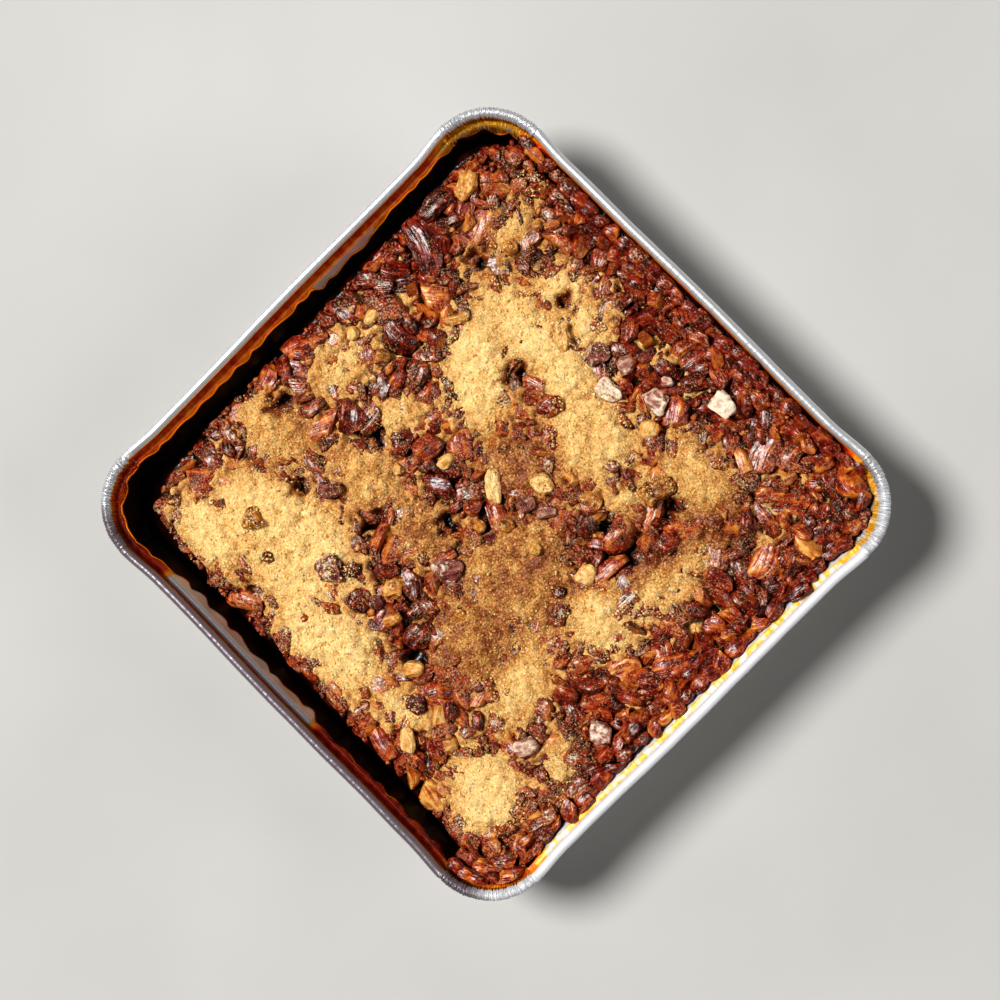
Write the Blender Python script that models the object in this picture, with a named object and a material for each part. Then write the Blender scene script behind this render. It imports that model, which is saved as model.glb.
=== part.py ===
"""Pecan cobbler baked in a square foil pan.

The pan stands on Z = 0 with its sides along X and Y. Inside it, 0.3 mm clear of the foil, lies the
baked filling: a syrup-set body with chopped pecans standing out of its top. Crumb topping lies on
the filling in patches, and the largest loose pecan pieces rest on top.
"""

import math
import random

import bmesh
import bpy
from mathutils import Matrix, Vector, geometry, noise
from mathutils.bvhtree import BVHTree

MM = 0.001

# Driving dimensions of the pan
RIM_SIDE = 206 * MM  # across the rolled rim
PAN_HEIGHT = 45 * MM
FOIL = 0.45 * MM  # thickness of the solid that stands for the foil
RIM_RADIUS = 24 * MM  # corner radius of the rim, seen from above
BEAD = 3.4 * MM  # width of the rolled edge
COLLAR = 5 * MM  # height of the upright band above the ledge
LEDGE = 2 * MM  # width of the ledge below the collar
FOOT_HALF = 83 * MM  # half the side of the flat base that the pan stands on
FOOT_RADIUS = 18 * MM  # corner radius of the base
FLOOR_EDGE = 4 * MM  # rounding between base and wall
PLEATS = 8  # pleats pressed into each corner
PLEAT_DEPTH = 0.75 * MM
SIDE_DRAW = 1.0 * MM  # how far the straight sides are drawn in behind the corners
SIDE_STEPS = 4

# Driving dimensions of the food
CLEARANCE = 0.3 * MM  # gap between neighbouring solids
SURFACE_Z = 31.8 * MM  # mean height of the baked surface
SURFACE_TILT = (0.9 * MM, 1.8 * MM)  # extra height at the +X and +Y walls
SWELL = 1.1 * MM  # slow waves of the surface
EDGE_Z = 29.5 * MM  # mean height where the syrup meets the foil
EDGE_TILT = (1.6 * MM, 3.4 * MM)
EDGE_RISE = 8 * MM  # width of the slope from the edge up to the surface
MESH_STEP = 7.3 * MM  # spacing of the surface's points
CRUMB_EDGE = 0.7 * MM  # thickness where a crumb patch ends
CRUMB_MOST = 3.8 * MM
SMALLEST_PATCH = 12  # triangles, under which a crumb patch is dropped
HIGHEST_FOOD = 40.7 * MM
SEED = 7

# Mounds of crumb: centre x and y, half length, half width, turn in degrees. All lengths in mm.
CRUMB_MOUNDS = (
    (-68, 90, 9, 6, -35),
    (-62, 70, 13, 7.5, 95),
    (-35, 69, 11, 8, 45),
    (-20, 66, 12, 7, -35),
    (-25, 51, 36, 11, -6),
    (-36, 29, 25, 13, -42),
    (8, 41, 18, 16, 0),
    (45, 56, 16, 13, 0),
    (33, 38, 11, 6, 80),
    (62, 24, 22, 8, 90),
    (54, -3, 15, 13, 0),
    (50, -37, 21, 10, -70),
    (69, -72, 18, 14, -20),
    (82, -50, 12, 6, -45),
    (-72, -36, 15, 12, 0),
    (-72, -1, 14, 7.5, 100),
    (-45, -5, 11, 8, 90),
    (-37, -24, 15, 12, 0),
    (-43, -60, 33, 20, 0),
    (-63, -77, 20, 11, 0),
    (-6, -74, 29, 13, 0),
    (27, -72, 12, 6, 10),
    (-11, -24, 11, 10, 0),
    (22, -10, 20, 19, 0),
    (28, -40, 18, 12, -20),
    (-2, 15, 17, 9, 20),
)
CRUMB_RAGGED = 2.6 * MM  # how far the patches' outlines wander
CRUMB_LUMP = 9 * MM  # size of the lumps in the crumb
CRUMB_ROUGH = 0.9 * MM  # height of the clods on top of the lumps

# Loose pecan pieces: x, y, length, width, height in mm, turn in degrees, share cut off each end.
LOOSE_PECANS = (
    (32.5, 79.5, 10, 8.5, 5.5, 75, 0.16, 0.20),
    (15, 65, 11, 8, 4.6, -5, 0.12, 0.18),
    (0.5, 56, 12, 6.5, 4.4, 8, 0.0, 0.20),
    (-10, 62, 10, 8, 4.6, 25, 0.20, 0.12),
    (-24, 58.5, 12, 5.5, 4.2, -38, 0.0, 0.16),
    (-9, 38, 10, 7.5, 4.6, 20, 0.20, 0.05),
    (23, 26, 9, 7, 4.6, 10, 0.1, 0.2),
    (37, 43, 14, 8, 5, 75, 0.0, 0.15),
    (52, 33, 10, 8, 4.6, 30, 0.15, 0.15),
    (8, 17, 9, 7, 4.4, 70, 0.1, 0.2),
    (-4, 5, 13, 5.5, 4.2, -38, 0.0, 0.0),
    (40, 6, 9, 7.5, 4.6, 15, 0.1, 0.2),
    (43, -10, 10, 6, 4.2, -60, 0.0, 0.2),
    (-37, -7, 10, 8, 4.8, 40, 0.2, 0.15),
    (-56, -13, 14, 11, 5.6, -50, 0.1, 0.15),
    (5, -27, 12, 7, 4.4, 50, 0.0, 0.15),
    (-24, -56, 12, 8.5, 4.6, -15, 0.12, 0.12),
    (-9, -57, 10, 7, 4.4, 10, 0.15, 0.1),
    (-4, -45, 10, 7.5, 4.6, 60, 0.1, 0.2),
    (14, -51, 11, 8.5, 5, 80, 0.12, 0.1),
    (-56, -63, 9, 7.5, 4.4, 70, 0.15, 0.2),
    (82, -29, 10, 7.5, 4.8, 20, 0.12, 0.2),
    (84, 6, 17, 9, 5.2, 62, 0.0, 0.0),
    (73, 37, 12, 6.5, 4.6, 5, 0.0, 0.1),
    (84, 25, 10, 8, 4.8, 20, 0.15, 0.15),
    (-79.5, 46, 22, 9.5, 5.4, -18, 0.0, 0.0),
    (-87, 60, 15, 8, 5.2, 85, 0.05, 0.0),
    (-84, 72, 12, 6.5, 4.6, -58, 0.0, 0.1),
    (14, 85.5, 14, 8.5, 5.2, 80, 0.0, 0.05),
)

# Pecans set in the filling
PECAN_LENGTH = (10 * MM, 18 * MM)
PECAN_SLENDER = (0.54, 0.78)  # width as a share of length
PECAN_HEIGHT = (5.6 * MM, 8.0 * MM)
PECAN_SUNK = 0.44  # share of the height below the surface
PECAN_SPACING = 0.68  # centre distance as a share of the mean length
PECAN_TRIES = 60  # places tried for each piece
MOST_PECANS = 158

COLOURS = {
    "foil": ((0.80, 0.80, 0.80), 0.28, 1.0),
    "filling": ((0.10, 0.022, 0.010), 0.25, 0.0),
    "crumb": ((0.62, 0.37, 0.13), 0.95, 0.0),
    "pecan": ((0.26, 0.075, 0.022), 0.40, 0.0),
}


def clear_scene():
    """Removes whatever the scene holds at the start."""
    for obj in list(bpy.data.objects):
        bpy.data.objects.remove(obj)


def material(name):
    """The Principled material of one of the finishes in COLOURS."""
    found = bpy.data.materials.get(name)
    if found:
        return found
    colour, roughness, metallic = COLOURS[name]
    made = bpy.data.materials.new(name)
    made.use_nodes = True
    shader = made.node_tree.nodes["Principled BSDF"]
    shader.inputs["Base Color"].default_value = (*colour, 1)
    shader.inputs["Roughness"].default_value = roughness
    shader.inputs["Metallic"].default_value = metallic
    return made


def place(name, bm, finish):
    """Makes an object of the bmesh, with its normals out and its material on."""
    bmesh.ops.recalc_face_normals(bm, faces=bm.faces)
    mesh = bpy.data.meshes.new(name)
    bm.to_mesh(mesh)
    bm.free()
    mesh.materials.append(material(finish))
    obj = bpy.data.objects.new(name, mesh)
    bpy.context.scene.collection.objects.link(obj)
    return obj


def ease(share):
    """Smooth step from 0 to 1."""
    share = min(1.0, max(0.0, share))
    return share * share * (3 - 2 * share)


# ---------------------------------------------------------------------------------------------
# The pan


def rounded_square(half, radius, z, pleat=0.0, draw=0.0):
    """Anticlockwise points of a rounded square, its corners pleated and its sides drawn in."""
    steps = 2 * PLEATS
    middle = half - radius
    points = []
    for corner in range(4):
        turn = Matrix.Rotation(corner * math.pi / 2, 2)
        for i in range(steps + 1):
            angle = math.pi / 2 * i / steps
            reach = radius - (pleat if i % 2 else 0.0)
            arc = Vector((math.cos(angle), math.sin(angle))) * reach
            points.append((turn @ (Vector((middle, middle)) + arc)).to_3d())
        for i in range(1, SIDE_STEPS):
            along = middle * (1 - 2 * i / SIDE_STEPS)
            drawn = draw * (0.6 if i == SIDE_STEPS // 2 else 1.0)
            points.append((turn @ Vector((along, half - drawn))).to_3d())
    for point in points:
        point.z = z
    return points


def lofted(rings):
    """A closed bmesh through rings of equal length, its first and last ring filled."""
    bm = bmesh.new()
    loops = [[bm.verts.new(point) for point in ring] for ring in rings]
    count = len(loops[0])
    for lower, upper in zip(loops, loops[1:]):
        for i in range(count):
            j = (i + 1) % count
            bm.faces.new((lower[i], lower[j], upper[j], upper[i]))
    bm.faces.new(reversed(loops[0]))
    bm.faces.new(loops[-1])
    return bm


LEDGE_Z = PAN_HEIGHT - COLLAR
WALL_TOP_HALF = RIM_SIDE / 2 - BEAD - LEDGE  # inside of the wall just below the ledge
WALL_FOOT_HALF = FOOT_HALF + FLOOR_EDGE - FOIL
WALL_FOOT_Z = FLOOR_EDGE + FOIL


def wall_half(z):
    """Half the distance between the inner faces of opposite walls, at height z."""
    share = (z - WALL_FOOT_Z) / (LEDGE_Z - WALL_FOOT_Z)
    return WALL_FOOT_HALF + share * (WALL_TOP_HALF - WALL_FOOT_HALF)


def wall_radius(z):
    """Corner radius of the wall's inner face, at height z."""
    share = (z - WALL_FOOT_Z) / (LEDGE_Z - WALL_FOOT_Z)
    return FOOT_RADIUS + share * (RIM_RADIUS - BEAD - LEDGE - FOOT_RADIUS)


def foil_pan():
    """The pan: flat base, flared walls, ledge, collar and rolled rim, in one foil."""
    rim = RIM_SIDE / 2
    collar = rim - BEAD
    outside = (
        (FOOT_HALF, FOOT_RADIUS, 0.0, 0.15),
        (WALL_FOOT_HALF + FOIL, FOOT_RADIUS + FOIL, WALL_FOOT_Z, 0.35),
        (WALL_TOP_HALF + FOIL, RIM_RADIUS - BEAD - LEDGE + FOIL, LEDGE_Z - FOIL, 1.0),
        (collar + FOIL, RIM_RADIUS - BEAD + FOIL, LEDGE_Z - FOIL, 1.0),
        (collar + FOIL, RIM_RADIUS - BEAD + FOIL, PAN_HEIGHT - 0.75 * BEAD, 0.8),
        (rim - 0.3 * BEAD, RIM_RADIUS - 0.3 * BEAD, PAN_HEIGHT - 0.95 * BEAD, 0.8),
        (rim, RIM_RADIUS, PAN_HEIGHT - 0.5 * BEAD, 1.0),
        (rim - 0.3 * BEAD, RIM_RADIUS - 0.3 * BEAD, PAN_HEIGHT, 1.0),
    )
    inside = (
        (collar, RIM_RADIUS - BEAD, PAN_HEIGHT - 0.3 * BEAD, 1.0),
        (collar, RIM_RADIUS - BEAD, LEDGE_Z + 0.2 * MM, 1.0),
        (WALL_TOP_HALF, wall_radius(LEDGE_Z), LEDGE_Z, 1.0),
        (WALL_FOOT_HALF, FOOT_RADIUS, WALL_FOOT_Z, 0.35),
        (FOOT_HALF, FOOT_RADIUS, FOIL, 0.15),
    )
    rings = [
        rounded_square(half, radius, z, share * PLEAT_DEPTH, share * SIDE_DRAW)
        for half, radius, z, share in outside + inside
    ]
    return place("foil_pan", lofted(rings), "foil")


# ---------------------------------------------------------------------------------------------
# The baked surface and where the crumb lies on it


def wall_distance(x, y, z):
    """Distance from a point to the wall's inner face at height z, positive inside."""
    half, radius = wall_half(z) - SIDE_DRAW - PLEAT_DEPTH, wall_radius(z)
    past_x, past_y = abs(x) - (half - radius), abs(y) - (half - radius)
    if past_x > 0 and past_y > 0:
        return radius - math.hypot(past_x, past_y)
    return half - max(abs(x), abs(y))


def edge_height(x, y):
    """Height at which the syrup meets the foil, higher on the +X and +Y sides."""
    return EDGE_Z + EDGE_TILT[0] * x / wall_half(EDGE_Z) + EDGE_TILT[1] * y / wall_half(EDGE_Z)


def surface_height(x, y):
    """Height of the filling's surface, without the pecans that stand out of it."""
    half = wall_half(EDGE_Z)
    flat = SURFACE_Z + SURFACE_TILT[0] * x / half + SURFACE_TILT[1] * y / half
    swell = SWELL * noise.noise(Vector((x, y, 0)) / (26 * MM))
    edge = edge_height(x, y)
    inward = ease((wall_distance(x, y, edge) - 1.5 * MM) / EDGE_RISE)
    return edge + inward * (flat + swell - edge)


def crumb_depth(x, y):
    """Roughly how far, in metres, a point lies inside the crumb's outline; negative outside."""
    best = -1.0
    for cx, cy, long, wide, turn in CRUMB_MOUNDS:
        across = Matrix.Rotation(-math.radians(turn), 2) @ Vector((x - cx * MM, y - cy * MM))
        reach = math.hypot(across.x / (long * MM), across.y / (wide * MM))
        best = max(best, (1 - reach) * min(long, wide) * MM)
    return best + CRUMB_RAGGED * noise.noise(Vector((x, y, 40 * MM)) / (11 * MM))


def snapped_to_crumb(point):
    """A point near the crumb's outline moved onto it, so that the mesh follows the outline."""
    step = 0.5 * MM
    x, y = point
    for _ in range(3):
        depth = crumb_depth(x, y)
        slope = Vector((
            crumb_depth(x + step, y) - crumb_depth(x - step, y),
            crumb_depth(x, y + step) - crumb_depth(x, y - step),
        )) / (2 * step)
        if abs(depth) > 0.45 * MESH_STEP or slope.length < 0.3:
            return Vector((x, y))
        x -= depth * slope.x / slope.length_squared
        y -= depth * slope.y / slope.length_squared
    return Vector((x, y))


def edge_ring(clear):
    """The loop where the filling meets the foil, this far clear of it."""
    low, high = WALL_FOOT_Z, LEDGE_Z
    rings = [
        rounded_square(wall_half(z) - clear, wall_radius(z) - clear, z, 0.0, SIDE_DRAW)
        for z in (low, high)
    ]
    ring = []
    for a, b in zip(*rings):
        z = edge_height(*a.lerp(b, 0.6).xy)
        ring.append(a.lerp(b, (z - low) / (high - low)))
    return ring


def surface_mesh(rng):
    """(points, triangles, inner) of the surface seen from above.

    The first points are the edge ring. The points from number inner on are away from the walls.
    """
    ring = [point.xy for point in edge_ring(CLEARANCE + PLEAT_DEPTH)]
    count = len(ring)
    points = list(ring)
    for share in (0.965, 0.915):
        points += [point * share for point in ring[:: 2]]
    reach = RIM_SIDE / 2
    inner = len(points)
    rows = int(reach / (MESH_STEP * math.sqrt(3) / 2)) + 1
    for row in range(-rows, rows + 1):
        for column in range(-rows, rows + 1):
            x = (column + 0.5 * (row % 2)) * MESH_STEP + rng.uniform(-1, 1) * 0.16 * MESH_STEP
            y = row * MESH_STEP * math.sqrt(3) / 2 + rng.uniform(-1, 1) * 0.16 * MESH_STEP
            if wall_distance(x, y, EDGE_Z) > 9.0 * MM:
                points.append(snapped_to_crumb((x, y)))
    edges = [(i, (i + 1) % count) for i in range(count)]
    made = geometry.delaunay_2d_cdt(points, edges, [], 1, 0.2 * MM)
    return [Vector(point) for point in made[0]], [list(face) for face in made[2]], inner


def filling_core(points, faces):
    """The filling without its pecans: the pan's inside up to the baked surface."""
    bm = bmesh.new()
    ring = edge_ring(CLEARANCE + PLEAT_DEPTH)
    count = len(ring)
    top = []
    for i, (x, y) in enumerate(points):
        z = ring[i].z if i < count else surface_height(x, y)
        top.append(bm.verts.new((x, y, z)))
    for face in faces:
        bm.faces.new([top[i] for i in face])
    clear = CLEARANCE
    below = (
        (WALL_FOOT_HALF, WALL_FOOT_Z + 0.5 * MM, 0.35),
        (FOOT_HALF, FOIL + clear, 0.15),
    )
    upper = top[:count]
    for half, z, share in below:
        inset, drawn = clear + share * PLEAT_DEPTH, share * SIDE_DRAW
        lower = [
            bm.verts.new(point)
            for point in rounded_square(half - inset, FOOT_RADIUS, z, 0.0, drawn)
        ]
        for i in range(count):
            j = (i + 1) % count
            bm.faces.new((lower[i], lower[j], upper[j], upper[i]))
        upper = lower
    bm.faces.new(reversed(upper))
    return place("pecan_filling", bm, "filling")


# ---------------------------------------------------------------------------------------------
# The crumb topping


def crumb_thickness(x, y):
    """Thickness of the crumb at a point, thick and lumpy inside, thin at the outline."""
    depth = crumb_depth(x, y)
    lump = 0.5 + 0.5 * noise.noise(Vector((x, y, 90 * MM)) / CRUMB_LUMP)
    clod = CRUMB_ROUGH * noise.noise(Vector((x, y, 0)) / (3.7 * MM))
    inner = ease(depth / (9 * MM))
    return CRUMB_EDGE + (CRUMB_MOST - CRUMB_EDGE) * inner * (0.45 + 0.75 * lump) + clod


def edges_of(face):
    return [frozenset((face[i], face[(i + 1) % len(face)])) for i in range(len(face))]


def connected(faces):
    """The faces sorted into groups that share edges, the largest group first."""
    users = {}
    for index, face in enumerate(faces):
        for edge in edges_of(face):
            users.setdefault(edge, []).append(index)
    left, groups = set(range(len(faces))), []
    while left:
        stack, group = [left.pop()], []
        while stack:
            index = stack.pop()
            group.append(index)
            for edge in edges_of(faces[index]):
                for other in users[edge]:
                    if other in left:
                        left.remove(other)
                        stack.append(other)
        groups.append([faces[i] for i in sorted(group)])
    return sorted(groups, key=len, reverse=True)


def without_pinches(faces):
    """Drops faces until no point joins two parts of the patch that share no edge there."""
    faces = list(faces)
    while True:
        around = {}
        for face in faces:
            for vertex in face:
                around.setdefault(vertex, []).append(face)
        dropped = []
        for vertex, fan in around.items():
            spokes = [
                [tuple(e - {vertex})[0] for e in edges_of(face) if vertex in e] for face in fan
            ]
            parts = connected([[vertex, *spoke] for spoke in spokes])
            if len(parts) > 1:
                kept = {tuple(sorted(face)) for face in parts[0]}
                dropped += [face for face in fan if tuple(sorted(face)) not in kept]
        if not dropped:
            return faces
        gone = {tuple(face) for face in dropped}
        faces = [face for face in faces if tuple(face) not in gone]


def crumb_patches(points, faces, inner):
    """The triangles of the surface that crumb covers, one list for each patch."""
    covered = []
    for face in faces:
        centre = sum((points[i] for i in face), Vector((0, 0))) / 3
        if crumb_depth(*centre) > 0 and min(face) >= inner:
            covered.append(face)
    patches = []
    for group in connected(covered):
        for part in connected(without_pinches(group)):
            if len(part) >= SMALLEST_PATCH:
                patches.append(part)
    return sorted(patches, key=len, reverse=True)


def crumb_solid(name, points, faces):
    """A patch of crumb as a solid that lies just clear of the filling."""
    users = {}
    for face in faces:
        for edge in edges_of(face):
            users.setdefault(edge, []).append(face)
    rim = {i for edge, used in users.items() if len(used) == 1 for i in edge}
    bm = bmesh.new()
    lower, upper = {}, {}
    for i in sorted({i for face in faces for i in face}):
        x, y = points[i]
        foot = surface_height(x, y) + CLEARANCE
        thick = CRUMB_EDGE if i in rim else max(CRUMB_EDGE, crumb_thickness(x, y))
        lower[i] = bm.verts.new((x, y, foot))
        upper[i] = bm.verts.new((x, y, foot + thick))
    for face in faces:
        bm.faces.new([upper[i] for i in face])
        bm.faces.new([lower[i] for i in reversed(face)])
        for a, b in zip(face, face[1:] + face[:1]):
            if len(users[frozenset((a, b))]) == 1:
                bm.faces.new((lower[a], lower[b], upper[b], upper[a]))
    return place(name, bm, "crumb")


# ---------------------------------------------------------------------------------------------
# Pecans


def pecan(size, turn, cuts, rng, fine):
    """A chopped pecan half on the origin: two lobes along X, its ends broken off by cuts."""
    length, width, height = size
    bm = bmesh.new()
    if fine:
        bmesh.ops.create_uvsphere(bm, u_segments=8, v_segments=5, radius=0.5)
        bmesh.ops.rotate(bm, verts=bm.verts, matrix=Matrix.Rotation(math.pi / 2, 3, "Y"))
    else:
        bmesh.ops.create_icosphere(bm, subdivisions=1, radius=0.5)
        bmesh.ops.rotate(bm, verts=bm.verts, matrix=Matrix.Rotation(rng.uniform(0, 6), 3, "X"))
    drift = Vector([rng.uniform(-50, 50) for _ in range(3)])
    for vertex in bm.verts:
        x, y, z = vertex.co
        groove = 0.2 * math.exp(-((y / 0.13) ** 2)) if z > 0 and fine else 0.0
        belly = 0.75 if z < 0 else 1.0
        rough = 1 + 0.18 * noise.noise(vertex.co * 3.1 + drift)
        vertex.co = Vector((
            x * length * rough,
            y * width * rough,
            (z * belly - groove) * height * rough,
        ))
    for side, cut in zip((1, -1), cuts):
        if cut > 0:
            slant = Vector((side, rng.uniform(-0.5, 0.5), rng.uniform(-0.3, 0.3))).normalized()
            bmesh.ops.bisect_plane(
                bm,
                geom=bm.verts[:] + bm.edges[:] + bm.faces[:],
                dist=0.01 * MM,
                plane_co=(side * length * (0.5 - cut), 0, 0),
                plane_no=slant,
                clear_outer=True,
            )
            bmesh.ops.holes_fill(bm, edges=[e for e in bm.edges if e.is_boundary], sides=0)
    bmesh.ops.triangulate(bm, faces=bm.faces)
    bmesh.ops.rotate(bm, verts=bm.verts, matrix=Matrix.Rotation(math.radians(turn), 3, "Z"))
    return bm


def free_of_crumb(x, y, length, width, turn, crumb_tree):
    """True if no crumb lies under an oval of this size and turn, seen from above."""
    axis = Vector((math.cos(math.radians(turn)), math.sin(math.radians(turn))))
    side = Vector((-axis.y, axis.x))
    spots = [Vector((x, y))]
    for i in range(12):
        angle = math.tau * i / 12
        reach = axis * (0.56 * length * math.cos(angle)) + side * (0.6 * width * math.sin(angle))
        spots += [spots[0] + reach, spots[0] + 0.5 * reach]
    return all(crumb_tree.ray_cast((*spot, 0.2), (0, 0, -1))[0] is None for spot in spots)


def set_pecans(core, crumb_tree, rng):
    """Chopped pecans baked into the filling between the crumb patches, fused to it."""
    chopped = bpy.data.collections.new("chopped_pecans")
    taken = [(x * MM, y * MM, 0.8 * length * MM) for x, y, length, *_ in LOOSE_PECANS]
    placed = []
    half = wall_half(SURFACE_Z)
    shortest, longest = PECAN_LENGTH
    for i in range(MOST_PECANS + 40):
        length = longest - (longest - shortest) * min(1, i / MOST_PECANS) ** 0.6
        width = length * rng.uniform(*PECAN_SLENDER)
        for _ in range(PECAN_TRIES):
            x, y, turn = rng.uniform(-half, half), rng.uniform(-half, half), rng.uniform(0, 180)
            if wall_distance(x, y, EDGE_Z) < 0.53 * length:
                continue
            if any(math.hypot(x - tx, y - ty) < PECAN_SPACING * (length + other) / 2
                   for tx, ty, other in taken):
                continue
            if not free_of_crumb(x, y, length, width, turn, crumb_tree):
                continue
            taken.append((x, y, length))
            placed.append((x, y, length, width, turn))
            break
    for x, y, length, width, turn in placed[:MOST_PECANS]:
        height = rng.uniform(*PECAN_HEIGHT)
        cuts = (rng.choice((0, 0.12)), rng.choice((0.08, 0.2)))
        bm = pecan((length, width, height), turn, cuts, rng, False)
        lean = Matrix.Rotation(math.radians(rng.uniform(-12, 12)), 3, "X")
        bmesh.ops.rotate(bm, verts=bm.verts, matrix=lean)
        z = surface_height(x, y) + (0.5 - PECAN_SUNK) * height
        bmesh.ops.translate(bm, verts=bm.verts, vec=(x, y, z))
        piece = place("set_pecan", bm, "filling")
        bpy.context.scene.collection.objects.unlink(piece)
        chopped.objects.link(piece)
    fuse(core, chopped)


def fuse(core, pieces):
    """Joins a collection's objects to the core with one Boolean union, then removes them."""
    bpy.context.scene.collection.children.link(pieces)
    union = core.modifiers.new("fuse", "BOOLEAN")
    union.operation = "UNION"
    union.operand_type = "COLLECTION"
    union.collection = pieces
    union.solver = "MANIFOLD"
    graph = bpy.context.evaluated_depsgraph_get()
    fused = bpy.data.meshes.new_from_object(core.evaluated_get(graph))
    core.modifiers.clear()
    core.data = fused
    for obj in list(pieces.objects):
        bpy.data.objects.remove(obj)
    bpy.data.collections.remove(pieces)


def tree_of(objects):
    """A search tree over the faces of several objects."""
    points, faces = [], []
    for obj in objects:
        first = len(points)
        points += [vertex.co.copy() for vertex in obj.data.vertices]
        faces += [[first + i for i in face.vertices] for face in obj.data.polygons]
    return BVHTree.FromPolygons(points, faces), points


def drop(bm, tree, points):
    """Lowers a piece until it lies just clear of whatever is under it; returns its new top."""
    piece = BVHTree.FromBMesh(bm)
    low = Vector([min(v.co[k] for v in bm.verts) for k in range(3)])
    high = Vector([max(v.co[k] for v in bm.verts) for k in range(3)])
    gaps = []
    samples = [v.co for v in bm.verts] + [(e.verts[0].co + e.verts[1].co) / 2 for e in bm.edges]
    for point in samples:
        hit = tree.ray_cast(point, (0, 0, -1))[0]
        if hit:
            gaps.append(point.z - hit.z)
    for point in points:
        if low.x <= point.x <= high.x and low.y <= point.y <= high.y:
            hit = piece.ray_cast(Vector((point.x, point.y, -1)), (0, 0, 1))[0]
            if hit:
                gaps.append(hit.z - point.z)
    fall = min(gaps) - 1.6 * CLEARANCE
    bmesh.ops.translate(bm, verts=bm.verts, vec=(0, 0, -fall))
    return high.z - fall


def loose_pecans(below, rng):
    """The largest pieces that lie on top, each a node of its own, none above HIGHEST_FOOD."""
    for number, row in enumerate(LOOSE_PECANS, 1):
        x, y, length, width, height, turn, *cuts = row
        tree, points = tree_of(below)
        bm = pecan((length * MM, width * MM, height * MM), turn, cuts, rng, True)
        bmesh.ops.translate(bm, verts=bm.verts, vec=(x * MM, y * MM, 2 * PAN_HEIGHT))
        while drop(bm, tree, points) > HIGHEST_FOOD:
            bmesh.ops.scale(bm, verts=bm.verts, vec=(1, 1, 0.93))
            bmesh.ops.translate(bm, verts=bm.verts, vec=(0, 0, 2 * PAN_HEIGHT))
        below.append(place(f"pecan_piece_{number:02d}", bm, "pecan"))


def main():
    clear_scene()
    rng = random.Random(SEED)
    foil_pan()
    points, faces, inner = surface_mesh(rng)
    core = filling_core(points, faces)
    crumbs = []
    for number, patch in enumerate(crumb_patches(points, faces, inner), 1):
        crumbs.append(crumb_solid(f"crumb_topping_{number}", points, patch))
    crumb_tree, _ = tree_of(crumbs)
    set_pecans(core, crumb_tree, rng)
    loose_pecans([core, *crumbs], rng)


if __name__ == "__main__":
    main()
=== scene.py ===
"""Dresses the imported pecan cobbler: foil pan, syrup, chopped pecans, loose pecans and crumb."""

import math
import random

import bmesh
import bpy
import numpy as np
from bpy.props import (FloatProperty, FloatVectorProperty, IntProperty, PointerProperty,
                       StringProperty)
from mathutils import Matrix, Vector, noise
from mathutils.bvhtree import BVHTree


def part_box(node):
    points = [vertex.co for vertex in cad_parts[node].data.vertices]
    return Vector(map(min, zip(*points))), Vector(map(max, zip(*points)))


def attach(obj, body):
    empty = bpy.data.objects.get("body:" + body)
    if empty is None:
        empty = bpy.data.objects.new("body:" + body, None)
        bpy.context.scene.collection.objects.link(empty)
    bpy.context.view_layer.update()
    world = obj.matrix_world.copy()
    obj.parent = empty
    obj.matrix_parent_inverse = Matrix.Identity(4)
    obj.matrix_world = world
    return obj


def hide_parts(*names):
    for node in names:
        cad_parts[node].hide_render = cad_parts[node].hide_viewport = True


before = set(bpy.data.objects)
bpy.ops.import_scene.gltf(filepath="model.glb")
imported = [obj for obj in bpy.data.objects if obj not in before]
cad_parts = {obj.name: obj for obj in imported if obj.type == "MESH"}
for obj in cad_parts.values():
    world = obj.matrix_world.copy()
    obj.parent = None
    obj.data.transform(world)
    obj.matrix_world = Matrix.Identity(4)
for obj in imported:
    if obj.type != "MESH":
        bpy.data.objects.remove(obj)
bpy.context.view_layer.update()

bl_info = {
    "name": "Pecan cobbler",
    "version": (1, 0, 0),
    "blender": (4, 5, 0),
    "location": "View3D > Sidebar > Cobbler",
    "description": "Builds a baked pecan cobbler in its foil pan",
    "category": "Object",
}

MM = 0.001
PAN_LOW, PAN_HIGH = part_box("foil_pan")

# Places that the solids and the dressed food share, in mm: crumb mounds as centre x and y, half
# length, half width and turn in degrees.
CRUMB_MOUNDS = (
    (-68, 90, 9, 6, -35), (-62, 70, 13, 7.5, 95), (-35, 69, 11, 8, 45), (-20, 66, 12, 7, -35),
    (-25, 51, 36, 11, -6), (-36, 29, 25, 13, -42), (8, 41, 18, 16, 0), (45, 56, 16, 13, 0),
    (33, 38, 11, 6, 80), (62, 24, 22, 8, 90), (54, -3, 15, 13, 0), (50, -37, 21, 10, -70),
    (69, -72, 18, 14, -20), (82, -50, 12, 6, -45), (-72, -36, 15, 12, 0), (-72, -1, 14, 7.5, 100),
    (-45, -5, 11, 8, 90), (-37, -24, 15, 12, 0), (-43, -60, 33, 20, 0), (-63, -77, 20, 11, 0),
    (-6, -74, 29, 13, 0), (27, -72, 12, 6, 10), (-11, -24, 11, 10, 0), (22, -10, 20, 19, 0),
    (28, -40, 18, 12, -20), (-2, 15, 17, 9, 20),
)
# Where syrup has soaked into the crumb: centre x and y and reach in mm, and how far, 0 to 1.
WET_CRUMB = (
    (22, -10, 24, 1.0), (28, -40, 20, 1.0), (0, 14, 18, 1.0), (50, 30, 14, 1.0),
    (60, 52, 12, 1.0), (-12, -25, 10, 1.0), (45, 58, 16, 0.5), (-37, -24, 15, 0.6),
    (-70, -36, 18, 0.5), (-45, -70, 14, 0.25), (50, -38, 12, 0.2), (-60, 72, 16, 0.4),
    (8, 42, 12, 0.35), (30, 4, 14, 0.9),
)
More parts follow.
